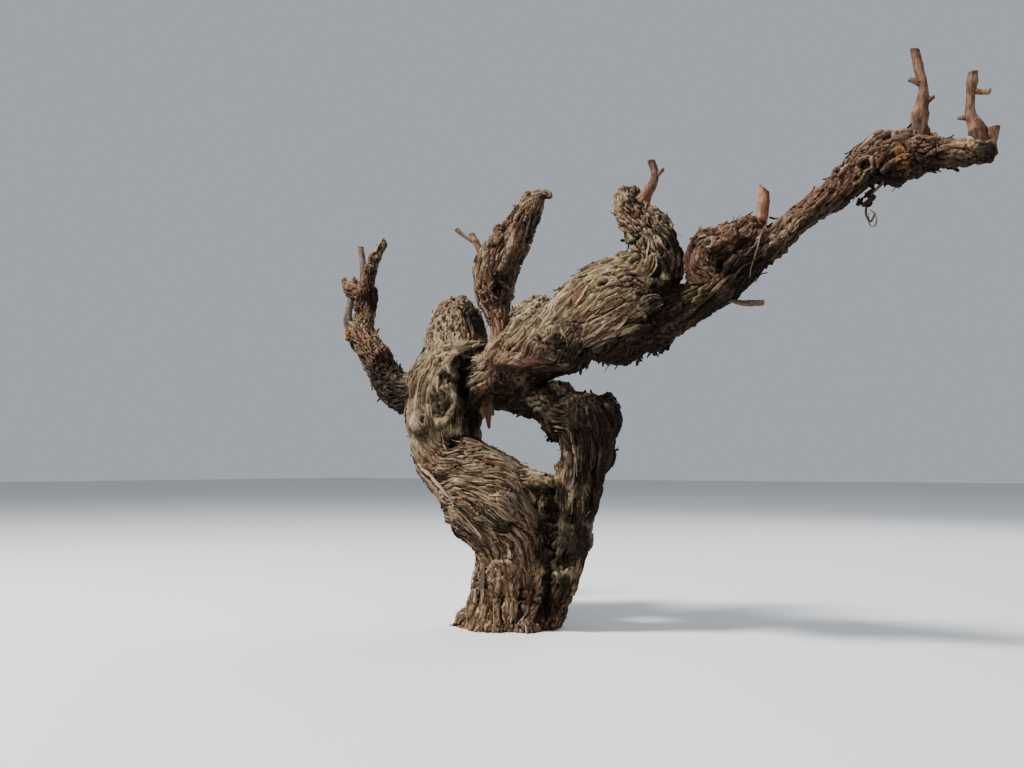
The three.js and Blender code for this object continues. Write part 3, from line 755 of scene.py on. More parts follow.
def carved_depth(places, normals):
    """How deep the cleft and the furrows cut into the skin, measured against its normals."""
    depth = np.zeros(len(places))
    ragged = layered(1, places, CARVING_LAYERS)
    for stations in furrow_lines():
        line = walk_along(stations, CARVING_GAP)
        widest = line.widths.max()
        low, high = line.centres.min(axis=0) - widest, line.centres.max(axis=0) + widest
        near = np.flatnonzero(((places > low) & (places < high)).all(axis=1))
        away = places[near, None] - line.centres
        ahead = np.sum(away * normals[near, None], axis=2)
        square = np.sum(away * away, axis=2)
        widths = line.widths * ragged[near, None]
        out = ahead + np.sqrt(np.maximum(ahead ** 2 - square + widths ** 2, 0))
        inside = fade(widths - np.sqrt(square), 0, CARVING_EDGE)
        depth[near] = np.maximum(depth[near], (out * inside).max(axis=1))
    return depth * fade(places[:, 2], *CARVING_START)


# Bark coordinates: where each vertex lies round and along its limb

# Places on a line end this many samples before its length in samples, so that each has a sample after it
LINE_END = 1.001
LEAST_BEND = 1e-6
LEAST_REACH = 1


def nearest_samples(places, lines):
    """For each vertex and line, where on the line its nearest ball lies, counted in samples, and how far
    outside that ball the vertex is."""
    picks = np.empty((len(places), len(lines)))
    gaps = np.empty((len(places), len(lines)))
    for start in range(0, len(places), CHUNK):
        block = slice(start, start + CHUNK)
        own = places[block]
        rows = np.arange(len(own))
        squares = np.sum(own * own, axis=1)[:, None]
        for number, line in enumerate(lines):
            centres = line.centres
            apart = squares + np.sum(centres * centres, axis=1) - 2 * own @ centres.T
            outside = np.sqrt(np.maximum(apart, 0)) - line.widths
            best = outside.argmin(axis=1)
            gaps[block, number] = outside[rows, best]
            middle = np.clip(best, 1, len(centres) - 2)
            before, here, after = (outside[rows, middle + step] for step in (-1, 0, 1))
            bend = np.maximum(before - 2 * here + after, LEAST_BEND)
            shift = np.clip((before - after) / (2 * bend), -1, 1)
            picks[block, number] = np.clip(middle + shift, 0, len(centres) - LINE_END)
    return picks, gaps


def bark_place(places, lines, which, pick):
    """Where vertices lie on their lines: along, angle round it, reach from it, and directions."""
    starts = np.cumsum([0] + [len(line.lengths) for line in lines[:-1]])
    before = starts[which] + pick.astype(int)
    share = pick - pick.astype(int)
    found = {}
    for key in ("centres", "tangents", "across", "widths", "lengths", "turns", "turning"):
        values = np.concatenate([getattr(line, key) for line in lines])
        part = share[:, None] if values.ndim == 2 else share
        found[key] = values[before] * (1 - part) + values[before + 1] * part
    tangents = unit(found["tangents"])
    across = unit(found["across"] - tangents * np.sum(found["across"] * tangents, axis=1)[:, None])
    away = places - found["centres"]
    away -= np.sum(away * tangents, axis=1)[:, None] * tangents
    reach = np.maximum(np.linalg.norm(away, axis=1), LEAST_REACH)
    sides = np.cross(tangents, across)
    angle = np.arctan2(np.sum(away * sides, axis=1), np.sum(away * across, axis=1))
    round_about = np.cross(tangents, away / reach[:, None])
    return SimpleNamespace(
        along=found["lengths"],
        angle=angle + found["turns"],
        reach=reach,
        widths=found["widths"],
        tangents=tangents,
        round_about=round_about,
        grain_way=unit(tangents - round_about * (reach * found["turning"])[:, None]),
    )


def bent_round_knots(places, spot):
    """Angles after the grain has been bent to run round the knots."""
    shift = np.zeros(len(places))
    for x, y, z, radius, _, _, stretch in KNOTS:
        away = places - (x, y, z)
        near = np.flatnonzero(np.linalg.norm(away, axis=1) < KNOT_REACH * radius)
        aside = np.sum(away[near] * spot.round_about[near], axis=1)
        ahead = np.sum(away[near] * spot.tangents[near], axis=1) / stretch
        square = aside ** 2 + ahead ** 2
        apart = np.sqrt(square)
        inner = fade(apart, radius * KNOT_CORE, radius)
        outer = fade(apart, radius * KNOT_FADE, radius * KNOT_REACH)
        shift[near] -= (inner - outer) * aside * radius ** 2 / np.maximum(square, radius ** 2)
    return spot.angle + shift / spot.reach


# The strength, size and salt of each layer of noise in the edges of patches, and the strengths where a
# patch sets in and where it is full
PATCH_LAYERS = ((0.2, 14, 0), (0.12, 5, 1))
PATCH_EDGE = (0.05, 0.45)


def patch_strength(places, patches, salt):
    """How far each place lies inside some round patches with ragged edges, from 0 to 1."""
    inside = np.zeros(len(places))
    for x, y, z, reach in patches:
        inside = np.maximum(inside, 1 - np.linalg.norm(places - (x, y, z), axis=1) / reach)
    layers = [(strength, size, salt + turn) for strength, size, turn in PATCH_LAYERS]
    return fade(layered(inside, places, layers), *PATCH_EDGE) * (inside > 0)


# Bark relief

# The parts of each kind of bark: their sizes across and along the grain, what they add to its height,
# and how wide the gaps, cuts and pits between them are
PLATE = SimpleNamespace(size=(9, 9, 48), level=2.6, lean=3.4, gap_width=0.16, gap=2.4, curl=1.4, missing=2.0)
MISSING_CHANCE = 0.12
SLIVER = SimpleNamespace(size=(3.2, 3.2, 26), level=1.6, lean=1.8, gap_width=0.2, gap=1.3)
WANDER = SimpleNamespace(size=(18, 18, 40), reach=4.0)
FIBRE = SimpleNamespace(size=(1.4, 1.4, 16), shaggy=0.35, rolled=0.3)
CLEFT = SimpleNamespace(size=(14, 14, 120), width=0.16, depth=3.4)
ROLL = SimpleNamespace(size=(6, 6, 70), height=1.5, fine_size=(3, 3, 34), fine_share=0.6)
GROOVE = SimpleNamespace(size=(8, 8, 90), width=0.14, depth=2.0)
SPLIT = SimpleNamespace(size=(4, 4, 40), width=0.1, depth=0.9)
WART = SimpleNamespace(size=(6, 6, 8), bend=4, level=2.6, lean=4.5, gap=1.4, sink=0.6)
PIT = SimpleNamespace(size=(6, 6, 9), start=0.25, end=0.55, depth=3.2)
GRIT_LAYERS = ((1, (2.2, 2.2, 4), 11), (1.2, (12, 12, 18), 12))
BLOCK = SimpleNamespace(size=(12, 12, 21), bend=6, level=4.2, lean=7.0, gap=2.6, sink=1.4)
GAP_START = 0.02
FLAKE_GAP = 0.2
LIFT_BELOW = 0.4
SWIRL_SHARE = 0.8


def lifted_cells(grain, kind, salt):
    """Height of long cells that lift at one end, the gaps between them, and each place's cell."""
    cube, offset, lead = nearest_cells(grain / kind.size, salt)
    lift = (hashed(cube, salt + 4) - LIFT_BELOW) * offset[:, 2]
    gap = 1 - fade(lead, GAP_START, kind.gap_width)
    return kind.level * hashed(cube, salt + 3) + kind.lean * lift, kind.gap * gap, cube, offset


def cracks(grain, kind, salt):
    """How deep thin cracks cut along the grain."""
    return kind.depth * (1 - fade(np.abs(noise(grain / kind.size, salt)), 0, kind.width))


def plate_relief(grain, share, salt):
    """Height of shaggy bark, and a random shade for each of its plates."""
    wander = np.stack([noise(grain / WANDER.size, salt + turn) for turn in range(2)], axis=1)
    grain = grain.copy()
    grain[:, :2] += WANDER.reach * wander
    scaled = grain / share[:, None]
    plate, gap, cube, offset = lifted_cells(scaled, PLATE, salt + 2)
    curl = np.linalg.norm(offset[:, :2], axis=1)
    missing = hashed(cube, salt + 7) < MISSING_CHANCE
    plate = plate + PLATE.curl * curl - gap - PLATE.missing * missing
    sliver, sliver_gap, sliver_cube, _ = lifted_cells(scaled, SLIVER, salt + 8)
    fibre = FIBRE.shaggy * noise(scaled / FIBRE.size, salt + 13)
    height = plate + (sliver - sliver_gap) + fibre - cracks(scaled, CLEFT, salt + 14)
    shade = 0.5 * hashed(cube, salt + 15) + 0.5 * hashed(sliver_cube, salt + 16)
    return height - height.mean(), shade


def rolled_relief(grain, salt):
    """Height of bare weathered wood with rolled, split ridges."""
    roll = noise(grain / ROLL.size, salt) + ROLL.fine_share * noise(grain / ROLL.fine_size, salt + 1)
    cut = ROLL.height * roll - cracks(grain, GROOVE, salt + 2) - cracks(grain, SPLIT, salt + 4)
    return cut + FIBRE.rolled * noise(grain / FIBRE.size, salt + 3)


def tilted_flakes(grain, kind, salt):
    """Height of random flakes that each lean their own way, with gaps between them."""
    swirl = [noise(grain / (SWIRL_SHARE * np.array(kind.size)), salt + turn) for turn in range(3)]
    cube, offset, lead = nearest_cells((grain + kind.bend * np.stack(swirl, axis=1)) / kind.size, salt + 3)
    lean = np.stack([hashed(cube, salt + 6 + turn) - 0.5 for turn in range(3)], axis=1)
    slope = np.sum(offset * lean, axis=1)
    gap = 1 - fade(lead, GAP_START, FLAKE_GAP)
    return kind.level * hashed(cube, salt + 9) + kind.lean * slope - kind.gap * gap


def warty_relief(places, salt):
    """Height of cracked dead wood with small flakes, lumps and pits."""
    flakes = tilted_flakes(places, WART, salt)
    pit = fade(noise(places / PIT.size, salt + 10), PIT.start, PIT.end)
    grit = layered(0, places, [(strength, size, salt + turn) for strength, size, turn in GRIT_LAYERS])
    return flakes - PIT.depth * pit + grit - WART.sink


def blocky_relief(grain, salt):
    """Height of thick flakes that overlap like slates."""
    return tilted_flakes(grain, BLOCK, salt) - BLOCK.sink


# The rolls of the callus round a knot: their height as a share of the rim, and their place and width
# as shares of the radius
CALLUS_ROLLS = ((1, 1.25, 0.3), (0.35, 1.95, 0.22))
KNOT_SEARCH = 3
KNOT_BOTTOM = (0.5, 1.0)


def knot_relief(places, spot):
    """Height of the callus rolled round each knot and of the hollow inside it, and what is inside."""
    height = np.zeros(len(places))
    inside = np.zeros(len(places))
    for x, y, z, radius, hollow, rim, stretch in KNOTS:
        away = places - (x, y, z)
        near = np.flatnonzero(np.linalg.norm(away, axis=1) < KNOT_SEARCH * radius * stretch)
        ahead = np.sum(away[near] * spot.tangents[near], axis=1)
        across = away[near] - spot.tangents[near] * ahead[:, None]
        apart = np.sqrt(np.sum(across * across, axis=1) + (ahead / stretch) ** 2)
        own = places[near]
        share = apart / radius * layered(1, own, ((0.3, radius * 0.8, 90), (0.12, 3.5, 91)))
        bottom = 1 - fade(share, *KNOT_BOTTOM)
        broken = np.clip(layered(0.75, own, [(0.8, radius * 0.7, 92)]), 0.1, 1.5)
        rolls = sum(high * np.exp(-(((share - middle) / width) ** 2)) for high, middle, width in CALLUS_ROLLS)
        height[near] += rim * broken * rolls - hollow * bottom
        inside[near] = np.maximum(inside[near], bottom)
    return height, inside


def grain_of(spot, angle):
    """Places as they would lie if each limb were straight, with its grain running up."""
    return np.stack([spot.reach * np.cos(angle), spot.reach * np.sin(angle), spot.along], axis=1)


# How far apart the limbs' bark patterns start, and the share of the shaggy bark that each kind hides
PATTERN_SHIFT = 400
HIDDEN_SHARES = {"bare": 0.65, "warty": 0.8, "blocky": 0.35}


def limb_relief(places, spot, names, which, kinds):
    """Height and shade of the bark where vertices belong to some lines, and their grain places."""
    shares = np.array([PLATE_SHARES.get(name, SMALL_PLATE_SHARE) for name in names])
    grain = grain_of(spot, bent_round_knots(places, spot))
    grain[:, 2] += PATTERN_SHIFT * which
    slim = np.where(spot.widths < layered(SLIM_LIMB, places, [SLIM_WAVER]), SLIM_SHARE, 1)
    height, shade = plate_relief(grain, np.maximum(shares[which] * slim, SMALL_PLATE_SHARE), 10)
    reliefs = {
        "bare": rolled_relief(grain, 30),
        "warty": warty_relief(places, 70),
        "blocky": blocky_relief(grain / slim[:, None], 110),
    }
    for kind, relief in reliefs.items():
        height = height * (1 - HIDDEN_SHARES[kind] * kinds[kind]) + relief * kinds[kind]
    return height, shade, grain


# Rounds of smoothing for the normals and for what is carved, and how high the fillets fade in
NORMAL_ROUNDS = 4
CARVING_ROUNDS = 2
FILLET_START = 20


def make_skin(lines):
    """The bare skin of the limbs, rounded at the forks and with the cleft and furrows cut in."""
    places, quads = limb_skin()
    links = quad_links(quads)
    places = smoothed(places, links, SMOOTHING_ROUNDS)
    gaps = nearest_samples(places, lines)[1]
    closeness = np.exp(-(gaps - gaps.min(axis=1, keepdims=True)) / FILLET).sum(axis=1)
    rise = FILLET * np.log(closeness) * fade(places[:, 2], 0, FILLET_START)
    places = places + vertex_normals(places, quads) * rise[:, None]
    places = smoothed(places, links, SMOOTHING_ROUNDS)
    normals = soft_normals(places, quads, links)
    depth = smoothed(carved_depth(places, normals), links, CARVING_ROUNDS)
    places = smoothed(places - normals * depth[:, None], links, CARVING_ROUNDS)
    normals = soft_normals(places, quads, links)
    return SimpleNamespace(places=places, quads=quads, links=links, normals=normals, depth=depth)


def soft_normals(places, quads, links):
    """Outward directions that follow the limbs and not each bump of the skin."""
    return unit(smoothed(vertex_normals(places, quads), links, NORMAL_ROUNDS))


def find_limbs(places, lines):
    """For each vertex its limbs, the nearest first, where it lies on each, and the nearest one's lead."""
    picks, gaps = nearest_samples(places, lines)
    order = np.argsort(gaps, axis=1)
    rows = np.arange(len(places))
    lead = gaps[rows, order[:, 1]] - gaps[rows, order[:, 0]]
    return SimpleNamespace(order=order, picks=picks, lead=lead)


# How much of the next limb's bark shows right at a fork, and how far from it that fades
FORK_BLEND = 0.5
FORK_FADE = 2.0


def bark_height(places, lines, limbs, spot, kinds):
    """Height and shade of the bark, blended where two limbs meet, and the places along its grain."""
    names = list(BARKED_LINES)
    height, shade, grain = limb_relief(places, spot, names, limbs.order[:, 0], kinds)
    forks = np.flatnonzero(limbs.lead < FORK_REACH)
    second = limbs.order[forks, 1]
    fork_spot = bark_place(places[forks], lines, second, limbs.picks[forks, second])
    fork_kinds = {kind: strength[forks] for kind, strength in kinds.items()}
    other = limb_relief(places[forks], fork_spot, names, second, fork_kinds)[0]
    blend = FORK_BLEND * np.exp(-limbs.lead[forks] / FORK_FADE)
    height[forks] = height[forks] * (1 - blend) + other * blend
    return height, shade, grain


# Limbs thinner than the full ones have flatter bark and smaller swellings, down to the least shares
FULL_LIMB = 26
LEAST_SHARE = 0.4
THINNING = 0.65
SWELLINGS = ((2.4, 30, 50), (1.8, 13, 51))
FULL_SWELL = 32
LEAST_SWELL = 0.35
# Bark this low is pressed flat on the ground
FLAT_BELOW = 0.3
# Rounds of smoothing that tell the hollows of the bark from its swellings
HOLLOW_ROUNDS = 10
# The heights over which the painted shade of crevices and the painted highlight of ridges show more and more
CREVICE_SHADE_SPAN = (0.15, 1.9)
RIDGE_HIGHLIGHT_SPAN = (0.2, 1.8)
# How much painted shade darkens the undersides, the shade patches and what is carved, and how far lit patches
# undo it
UNDERSIDE_SHADE = 0.82
UNDER_SPAN = (0.1, 0.75)
PATCH_SHADE = 0.93
UNDER_PATCH_SHADE = 0.07
LIGHTENING = 0.8
SUNK_SHADE = 0.95
SUNK_SPAN = (2, 7)
# How much fewer strips come loose on each kind of bark
CALM_SHARES = {"bare": 0.9, "warty": 0.85, "blocky": 0.2}


def bark_kinds(places, knot_inside):
    """How bare, warty and blocky the bark is at each place."""
    return {
        "bare": patch_strength(places, BARE_PATCHES, 40),
        "warty": np.maximum(patch_strength(places, WARTY_PATCHES, 42), knot_inside),
        "blocky": patch_strength(places, BLOCKY_PATCHES, 44),
    }


def make_bark():
    """The whole skin with its relief: places, quads, normals, node numbers, masks and directions."""
    lines = [walk_along(stations, SAMPLE_GAP, WINDINGS.get(name)) for name, stations in BARKED_LINES.items()]
    skin = make_skin(lines)
    limbs = find_limbs(skin.places, lines)
    which = limbs.order[:, 0]
    pick = limbs.picks[np.arange(len(which)), which]
    spot = bark_place(skin.places, lines, which, pick)
    knots, knot_inside = knot_relief(skin.places, spot)
    kinds = bark_kinds(skin.places, knot_inside)
    height, shade, grain = bark_height(skin.places, lines, limbs, spot, kinds)
    size = np.clip(spot.widths / FULL_LIMB, LEAST_SHARE, 1) ** THINNING
    swell = layered(0, skin.places, SWELLINGS)
    height = height * size + swell * np.clip(spot.widths / FULL_SWELL, LEAST_SWELL, 1) + knots
    hollow = height - smoothed(height, skin.links, HOLLOW_ROUNDS)
    places = skin.places + skin.normals * height[:, None]
    places[:, 2] = np.where(places[:, 2] < FLAT_BELOW, 0, places[:, 2])
    # Painted shade in the carved cleft, recess and furrows, which also keeps strips away from them
    sunk = SUNK_SHADE * fade(skin.depth, *SUNK_SPAN)
    calm = [share * kinds[kind] for kind, share in CALM_SHARES.items()] + [knot_inside, sunk]
    masks = {"shade": shade, "knot": knot_inside, "bare": kinds["bare"], "warty": kinds["warty"]}
    masks |= hollow_masks(hollow) | colour_masks(places, skin.normals, sunk)
    return SimpleNamespace(
        places=places,
        quads=skin.quads,
        normals=vertex_normals(places, skin.quads),
        soft_normals=skin.normals,
        nodes=node_numbers(lines, which, pick),
        masks=masks,
        sunk=sunk,
        grain=grain,
        grain_way=spot.grain_way,
        widths=spot.widths,
        calm=np.max(calm, axis=0),
    )


def hollow_masks(hollow):
    """Painted shade in the crevices and a painted highlight on the ridges of the relief, for each vertex."""
    return {"crevice": fade(-hollow, *CREVICE_SHADE_SPAN), "ridge": fade(hollow, *RIDGE_HIGHLIGHT_SPAN)}


def colour_masks(places, normals, sunk):
    """How red, rusty, green, raw and full of lichen each vertex is, and its painted shade as the dark mask:
    undersides, carved places and shade patches.
    """
    masks = {name: patch_strength(places, patches, salt) for name, (patches, salt) in COLOUR_PATCHES.items()}
    # Painted shade on the undersides of the limbs
    under = UNDERSIDE_SHADE * fade(-normals[:, 2], *UNDER_SPAN)
    lit = patch_strength(places, LIT_PATCHES, 54)
    # Painted shade in the shade patches, lifted where lit patches lie
    dark = PATCH_SHADE * patch_strength(places, PAINTED_SHADE_PATCHES, 62) * (1 - LIGHTENING * lit)
    # The dark mask is all painted shade: the strongest of the undersides, the patches and the carved places,
    # with more where patches and undersides meet
    masks["dark"] = np.maximum(np.maximum(dark, under), sunk) + UNDER_PATCH_SHADE * dark * under
    return masks


def stretches_of(name):
    """The nodes along a line, each with the number of the station where its stretch ends."""
    return STRETCHES.get(name, [(NODE_OF_LINE.get(name, name), 0)])


def barked_nodes():
    """Names of the solids that the skin stands for, in order."""
    return sorted({node for name in BARKED_LINES for node, _ in stretches_of(name)})


def node_numbers(lines, which, pick):
    """For each vertex, the number of the node that its stretch of line belongs to."""
    numbers = {node: number for number, node in enumerate(barked_nodes())}
    tables = []
    for name, line in zip(BARKED_LINES, lines):
        stretches = stretches_of(name)
        own = np.minimum(np.searchsorted([end for _, end in stretches], line.times), len(stretches) - 1)
        tables.append(np.array([numbers[node] for node, _ in stretches])[own])
    starts = np.cumsum([0] + [len(table) for table in tables[:-1]])
    return np.concatenate(tables)[starts[which] + pick.astype(int)]


# The skin's pieces

def open_rims(faces, count):
    """The edges of each open rim of a piece."""
    edges = np.concatenate([faces[:, [side, (side + 1) % 4]] for side in range(4)])
    keys = edges[:, 0].astype(np.int64) * count + edges[:, 1]
    back = edges[:, 1].astype(np.int64) * count + edges[:, 0]
    rim = edges[~np.isin(keys, back)]
    group = {}

    def root(number):
        while group[number] != number:
            group[number] = group[group[number]]
            number = group[number]
        return number

    for number in np.unique(rim).tolist():
        group[number] = number
    for a, b in rim.tolist():
        group[root(a)] = root(b)
    rims = {}
    for a, b in rim.tolist():
        rims.setdefault(root(a), []).append((a, b))
    return list(rims.values())


def closed_piece(bark, faces):
    """The skin's vertices that some faces use, and the faces of a piece closed over its open rims."""
    used, own = np.unique(faces, return_inverse=True)
    own = own.reshape(-1, 4)
    places = [bark.places[used]]
    normals = [bark.normals[used]]
    caps = []
    count = len(used)
    for rim in open_rims(own, count):
        corners = used[np.unique(rim)]
        places.append(bark.places[corners].mean(axis=0, keepdims=True))
        normals.append(bark.normals[corners].mean(axis=0, keepdims=True))
        caps += [(b, a, count) for a, b in rim]
        count += 1
    return used, np.concatenate(places), np.concatenate(normals), own.tolist() + caps


def bark_pieces(bark, material):
    """One closed piece of the skin for each barked node, with the whole skin's normals."""
    face_nodes = np.sort(bark.nodes[bark.quads], axis=1)[:, 1]
    for number, node in enumerate(barked_nodes()):
        used, places, normals, faces = closed_piece(bark, bark.quads[face_nodes == number])
        obj = mesh_object(node + "_bark", places, faces)
        mesh = obj.data
        for name, values in bark.masks.items():
            own_values = np.zeros(len(places), np.float32)
            own_values[: len(used)] = values[used]
            mesh.attributes.new(name, "FLOAT", "POINT").data.foreach_set("value", own_values)
        own_grain = np.zeros((len(places), 3), np.float32)
        own_grain[: len(used)] = bark.grain[used] * MM
        mesh.attributes.new("grain", "FLOAT_VECTOR", "POINT").data.foreach_set("vector", own_grain.ravel())
        mesh.shade_smooth()
        mesh.normals_split_custom_set_from_vertices(normals.tolist())
        mesh.materials.append(material)
        seat(obj, node)


def seat(obj, *nodes):
    """Seats a piece on the vine's one body and hides the solids that it stands for, if it has any."""
    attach(obj, "root")
    if nodes:
        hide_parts(*nodes)


# Loose strips of bark

STRIP_STEP = 2.7
STRIP_COLOURS = {
    "pale": "#9a8871",
    "grey": "#7b6d5d",
    "tan": "#735b45",
    "brown": "#54402f",
    "umber": "#3f2d24",
    "dark": "#241a14",
    "red": "#573c31",
    "green": "#62603e",
}
# The ranges that chance picks from for the strips that lift off the bark, the shreds under the limbs
# and the flakes on them. A strip is some steps long and lies on the bark for its attached steps.
SLIVERS = SimpleNamespace(
    count=3200,
    steps=(4, 14),
    attached_share=(0.6, 1.15),
    half_width=(0.5, 1.3),
    broad_half_width=(1.4, 2.4),
    broad_chance=0.1,
    opening=(0.02, 0.2),
    droop=0.03,
)
SHREDS = SimpleNamespace(
    count=260, steps=(4, 7), attached=(2, 4), half_width=(1.4, 3.4), opening=0.1, droop=(0.0, 0.2)
)
FLAKES = SimpleNamespace(count=170, steps=(4, 6), attached=2, half_width=(1.4, 3.0), opening=(0.15, 0.4))
LEAST_STEPS = 4
DARK_SHREDS = 0.7
# How far the bark has to face down for shreds, and up for flakes, and the share of flakes elsewhere
SHRED_FACING = (0.0, 0.6)
FLAKE_FACING = (-0.2, 0.6)
FLAKES_ELSEWHERE = 0.15
# The limb on which slivers reach their full size, how their size falls on thinner limbs, and how small
# and how rare they get there
SLIVER_LIMB = 32
SLIVER_THINNING = 0.7
SMALLEST_SLIVER = 0.4
FEWEST_SLIVERS = 0.45
# No slivers grow lower than this
SLIVER_FLOOR = 6
STRIPS_A_PIECE = 1600
STRIP_REACH = (-79, 70)
STRIP_SEED = 4
STRIP_FLOOR = 0.2
STRIP_SHARPNESS = 50
# A peeling has longer steps and lies this high on the bark. Where its places stand off farther than the
# free height, it hangs there and faces the front.
PEELING_STRETCH = 1.5
PEELING_LIFT = 1.8
FREE_HEIGHT = 6
FREE_STRIP_WAY = (0.56, -0.83, 0)
# The width of a strip's ends as a share of its middle, and the part of a half wave that its width takes
STRIP_ENDS = 0.3
STRIP_WAVE = (0.94, 0.03)
# How far the edges of a strip are cupped, and the ragged shares of its width
CUP = (-0.35, 0.45)
RAGGED_SHARES = (0.55, 1.25)
# Thickness of a strip, and how much it grows with the half width
STRIP_THICKNESS = (0.5, 0.14)
# How high an attached strip lies on the bark, and how much that grows with the half width
STRIP_LIFT = (0.3, 0.25)
# How strongly an attached strip turns to the grain at each step, and how much a loose end wavers
GRAIN_PULL = 0.4
LOOSE_WAVER = 0.2
# A strip stops where the painted shade of a carved place is stronger than this, but not on its first steps
STRIP_STOP = 0.4
FIRST_STEPS = 2
# A strip takes its colour from a patch of the bark that is stronger than this, painted shade among them
TINTED_FROM = 0.4


def strip_shape(line, normals, half_width, ragged, cup):
    """A thin cupped strip along a line of places: its vertices and faces."""
    line, normals = np.array(line), np.array(normals)
    tangents = unit(np.gradient(line, axis=0))
    sideways = unit(np.cross(normals, tangents))
    upward = np.cross(tangents, sideways)
    share = np.linspace(0, 1, len(line))
    wave = np.sin(math.pi * (share * STRIP_WAVE[0] + STRIP_WAVE[1])) ** 0.5
    half = half_width * (STRIP_ENDS + (1 - STRIP_ENDS) * wave) * ragged
    edge = sideways * half[:, None]
    raised = upward * cup * half_width
    thick = upward * (STRIP_THICKNESS[0] + STRIP_THICKNESS[1] * half_width) / 2
    ring = np.stack([line - edge + raised, line + thick, line + edge + raised, line - thick], axis=1)
    faces = [tuple(face) for face in ring_faces(len(line), 4).tolist()]
    last = 4 * len(line)
    faces += [(3, 2, 1, 0), (last - 4, last - 3, last - 2, last - 1)]
    return ring.reshape(-1, 3), faces


class StripMaker:
    """Lays strips along the grain of the bark and lets their ends come loose."""

    def __init__(self, bark, seed):
        self.bark = bark
        self.tree = BVHTree.FromPolygons(bark.places.tolist(), bark.quads.tolist())
        self.random = np.random.default_rng(seed)
        self.shapes = []
        self.colours = []

    def surface(self, place):
        """The nearest place of the bark, its soft normal, its grain direction and its vertex number."""
        hit, _, face, _ = self.tree.find_nearest(place)
        vertex = self.bark.quads[face][0]
        return np.array(hit), self.bark.soft_normals[vertex], self.bark.grain_way[vertex], vertex

    def add_along_grain(self, start, steps, attached, opening, droop, half_width, colour):
        """A strip from a vertex along the grain, loose beyond the attached steps."""
        place = self.bark.places[start]
        way = self.bark.grain_way[start] * self.random.choice((-1, 1))
        line, normals = [], []
        for step in range(steps):
            if step < attached:
                place, normal, grain_way, vertex = self.surface(place)
                if step > FIRST_STEPS and self.bark.sunk[vertex] > STRIP_STOP:
                    break
                if grain_way @ way < 0:
                    grain_way = -grain_way
                way = unit((1 - GRAIN_PULL) * way + GRAIN_PULL * grain_way)
                way = unit(way - normal * (way @ normal))
                line.append(place + normal * (STRIP_LIFT[0] + STRIP_LIFT[1] * half_width))
            else:
                jitter = self.random.normal(0, LOOSE_WAVER, 3)
                way = unit(way + normal * opening - np.array([0, 0, droop]) + jitter)
                normal = unit(normal - way * (normal @ way))
                line.append(line[-1] + way * STRIP_STEP)
            normals.append(normal)
            place = place + way * STRIP_STEP
        self.add(line, normals, half_width, colour)

    def add_through(self, places, half_width, colour):
        """A broad strip laid through some places of the bark, or free where they stand off it."""
        path = walk_along([(*place, 1) for place in places], STRIP_STEP * PEELING_STRETCH).centres
        line, normals = [], []
        for place in path:
            hit, normal, _, _ = self.surface(place)
            free = (place - hit) @ normal >= FREE_HEIGHT
            line.append(place if free else hit + normal * PEELING_LIFT)
            normals.append(np.array(FREE_STRIP_WAY) if free else normal)
        self.add(line, normals, half_width, colour)

    def add(self, line, normals, half_width, colour):
        """A strip along a line that is first smoothed, with a chance cup and ragged edges."""
        line = np.array(line)
        line[1:-1] = (line[:-2] + 2 * line[1:-1] + line[2:]) / 4
        cup = self.random.uniform(*CUP)
        ragged = self.random.uniform(*RAGGED_SHARES, len(line))
        self.shapes.append(strip_shape(line, normals, half_width, ragged, cup))
        self.colours.append(colour)


# Shares of the strips' colours on each kind of bark; on bark with painted shade the strips get darker colours
# as painted shade too
STRIP_CHANCES = {
    "dark": {"dark": 0.72, "umber": 0.24, "brown": 0.04},
    "green": {"green": 0.4, "umber": 0.35, "brown": 0.25},
    "red": {"red": 0.28, "umber": 0.26, "brown": 0.22, "tan": 0.14, "grey": 0.1},
    "rust": {"tan": 0.34, "brown": 0.24, "umber": 0.1, "grey": 0.18, "pale": 0.14},
    "plain": {"pale": 0.2, "grey": 0.32, "tan": 0.2, "brown": 0.18, "umber": 0.08, "dark": 0.02},
}


def strip_colour(masks, vertex, random):
    """A plain colour for one strip, by where it lies and by chance, darker where the bark has painted shade.
    """
    kinds = [kind for kind in ("dark", "green", "red", "rust") if masks[kind][vertex] > TINTED_FROM]
    chances = STRIP_CHANCES[kinds[0] if kinds else "plain"]
    return str(random.choice(list(chances), p=list(chances.values())))


def picked(random, weights, count):
    """Vertex numbers chosen by chance, more often where the weight is higher."""
    return random.choice(len(weights), count, p=weights / weights.sum())


def add_slivers(maker, bark):
    """Strips that lift off the bark, long and short, narrow and now and then broad."""
    random = maker.random
    wanted = (1 - bark.calm) * np.clip(bark.widths / FULL_LIMB, FEWEST_SLIVERS, 1)
    wanted = wanted * (bark.places[:, 2] > SLIVER_FLOOR)
    for start in picked(random, wanted, SLIVERS.count):
        size = min(max(bark.widths[start] / SLIVER_LIMB, SMALLEST_SLIVER), 1) ** SLIVER_THINNING
        broad = random.random() < SLIVERS.broad_chance
        half_width = size * random.uniform(*(SLIVERS.broad_half_width if broad else SLIVERS.half_width))
        steps = max(LEAST_STEPS, round(size * random.uniform(*SLIVERS.steps)))
        attached = round(steps * random.uniform(*SLIVERS.attached_share))
        colour = strip_colour(bark.masks, start, random)
        opening = random.uniform(*SLIVERS.opening)
        maker.add_along_grain(start, steps, attached, opening, SLIVERS.droop, half_width, colour)


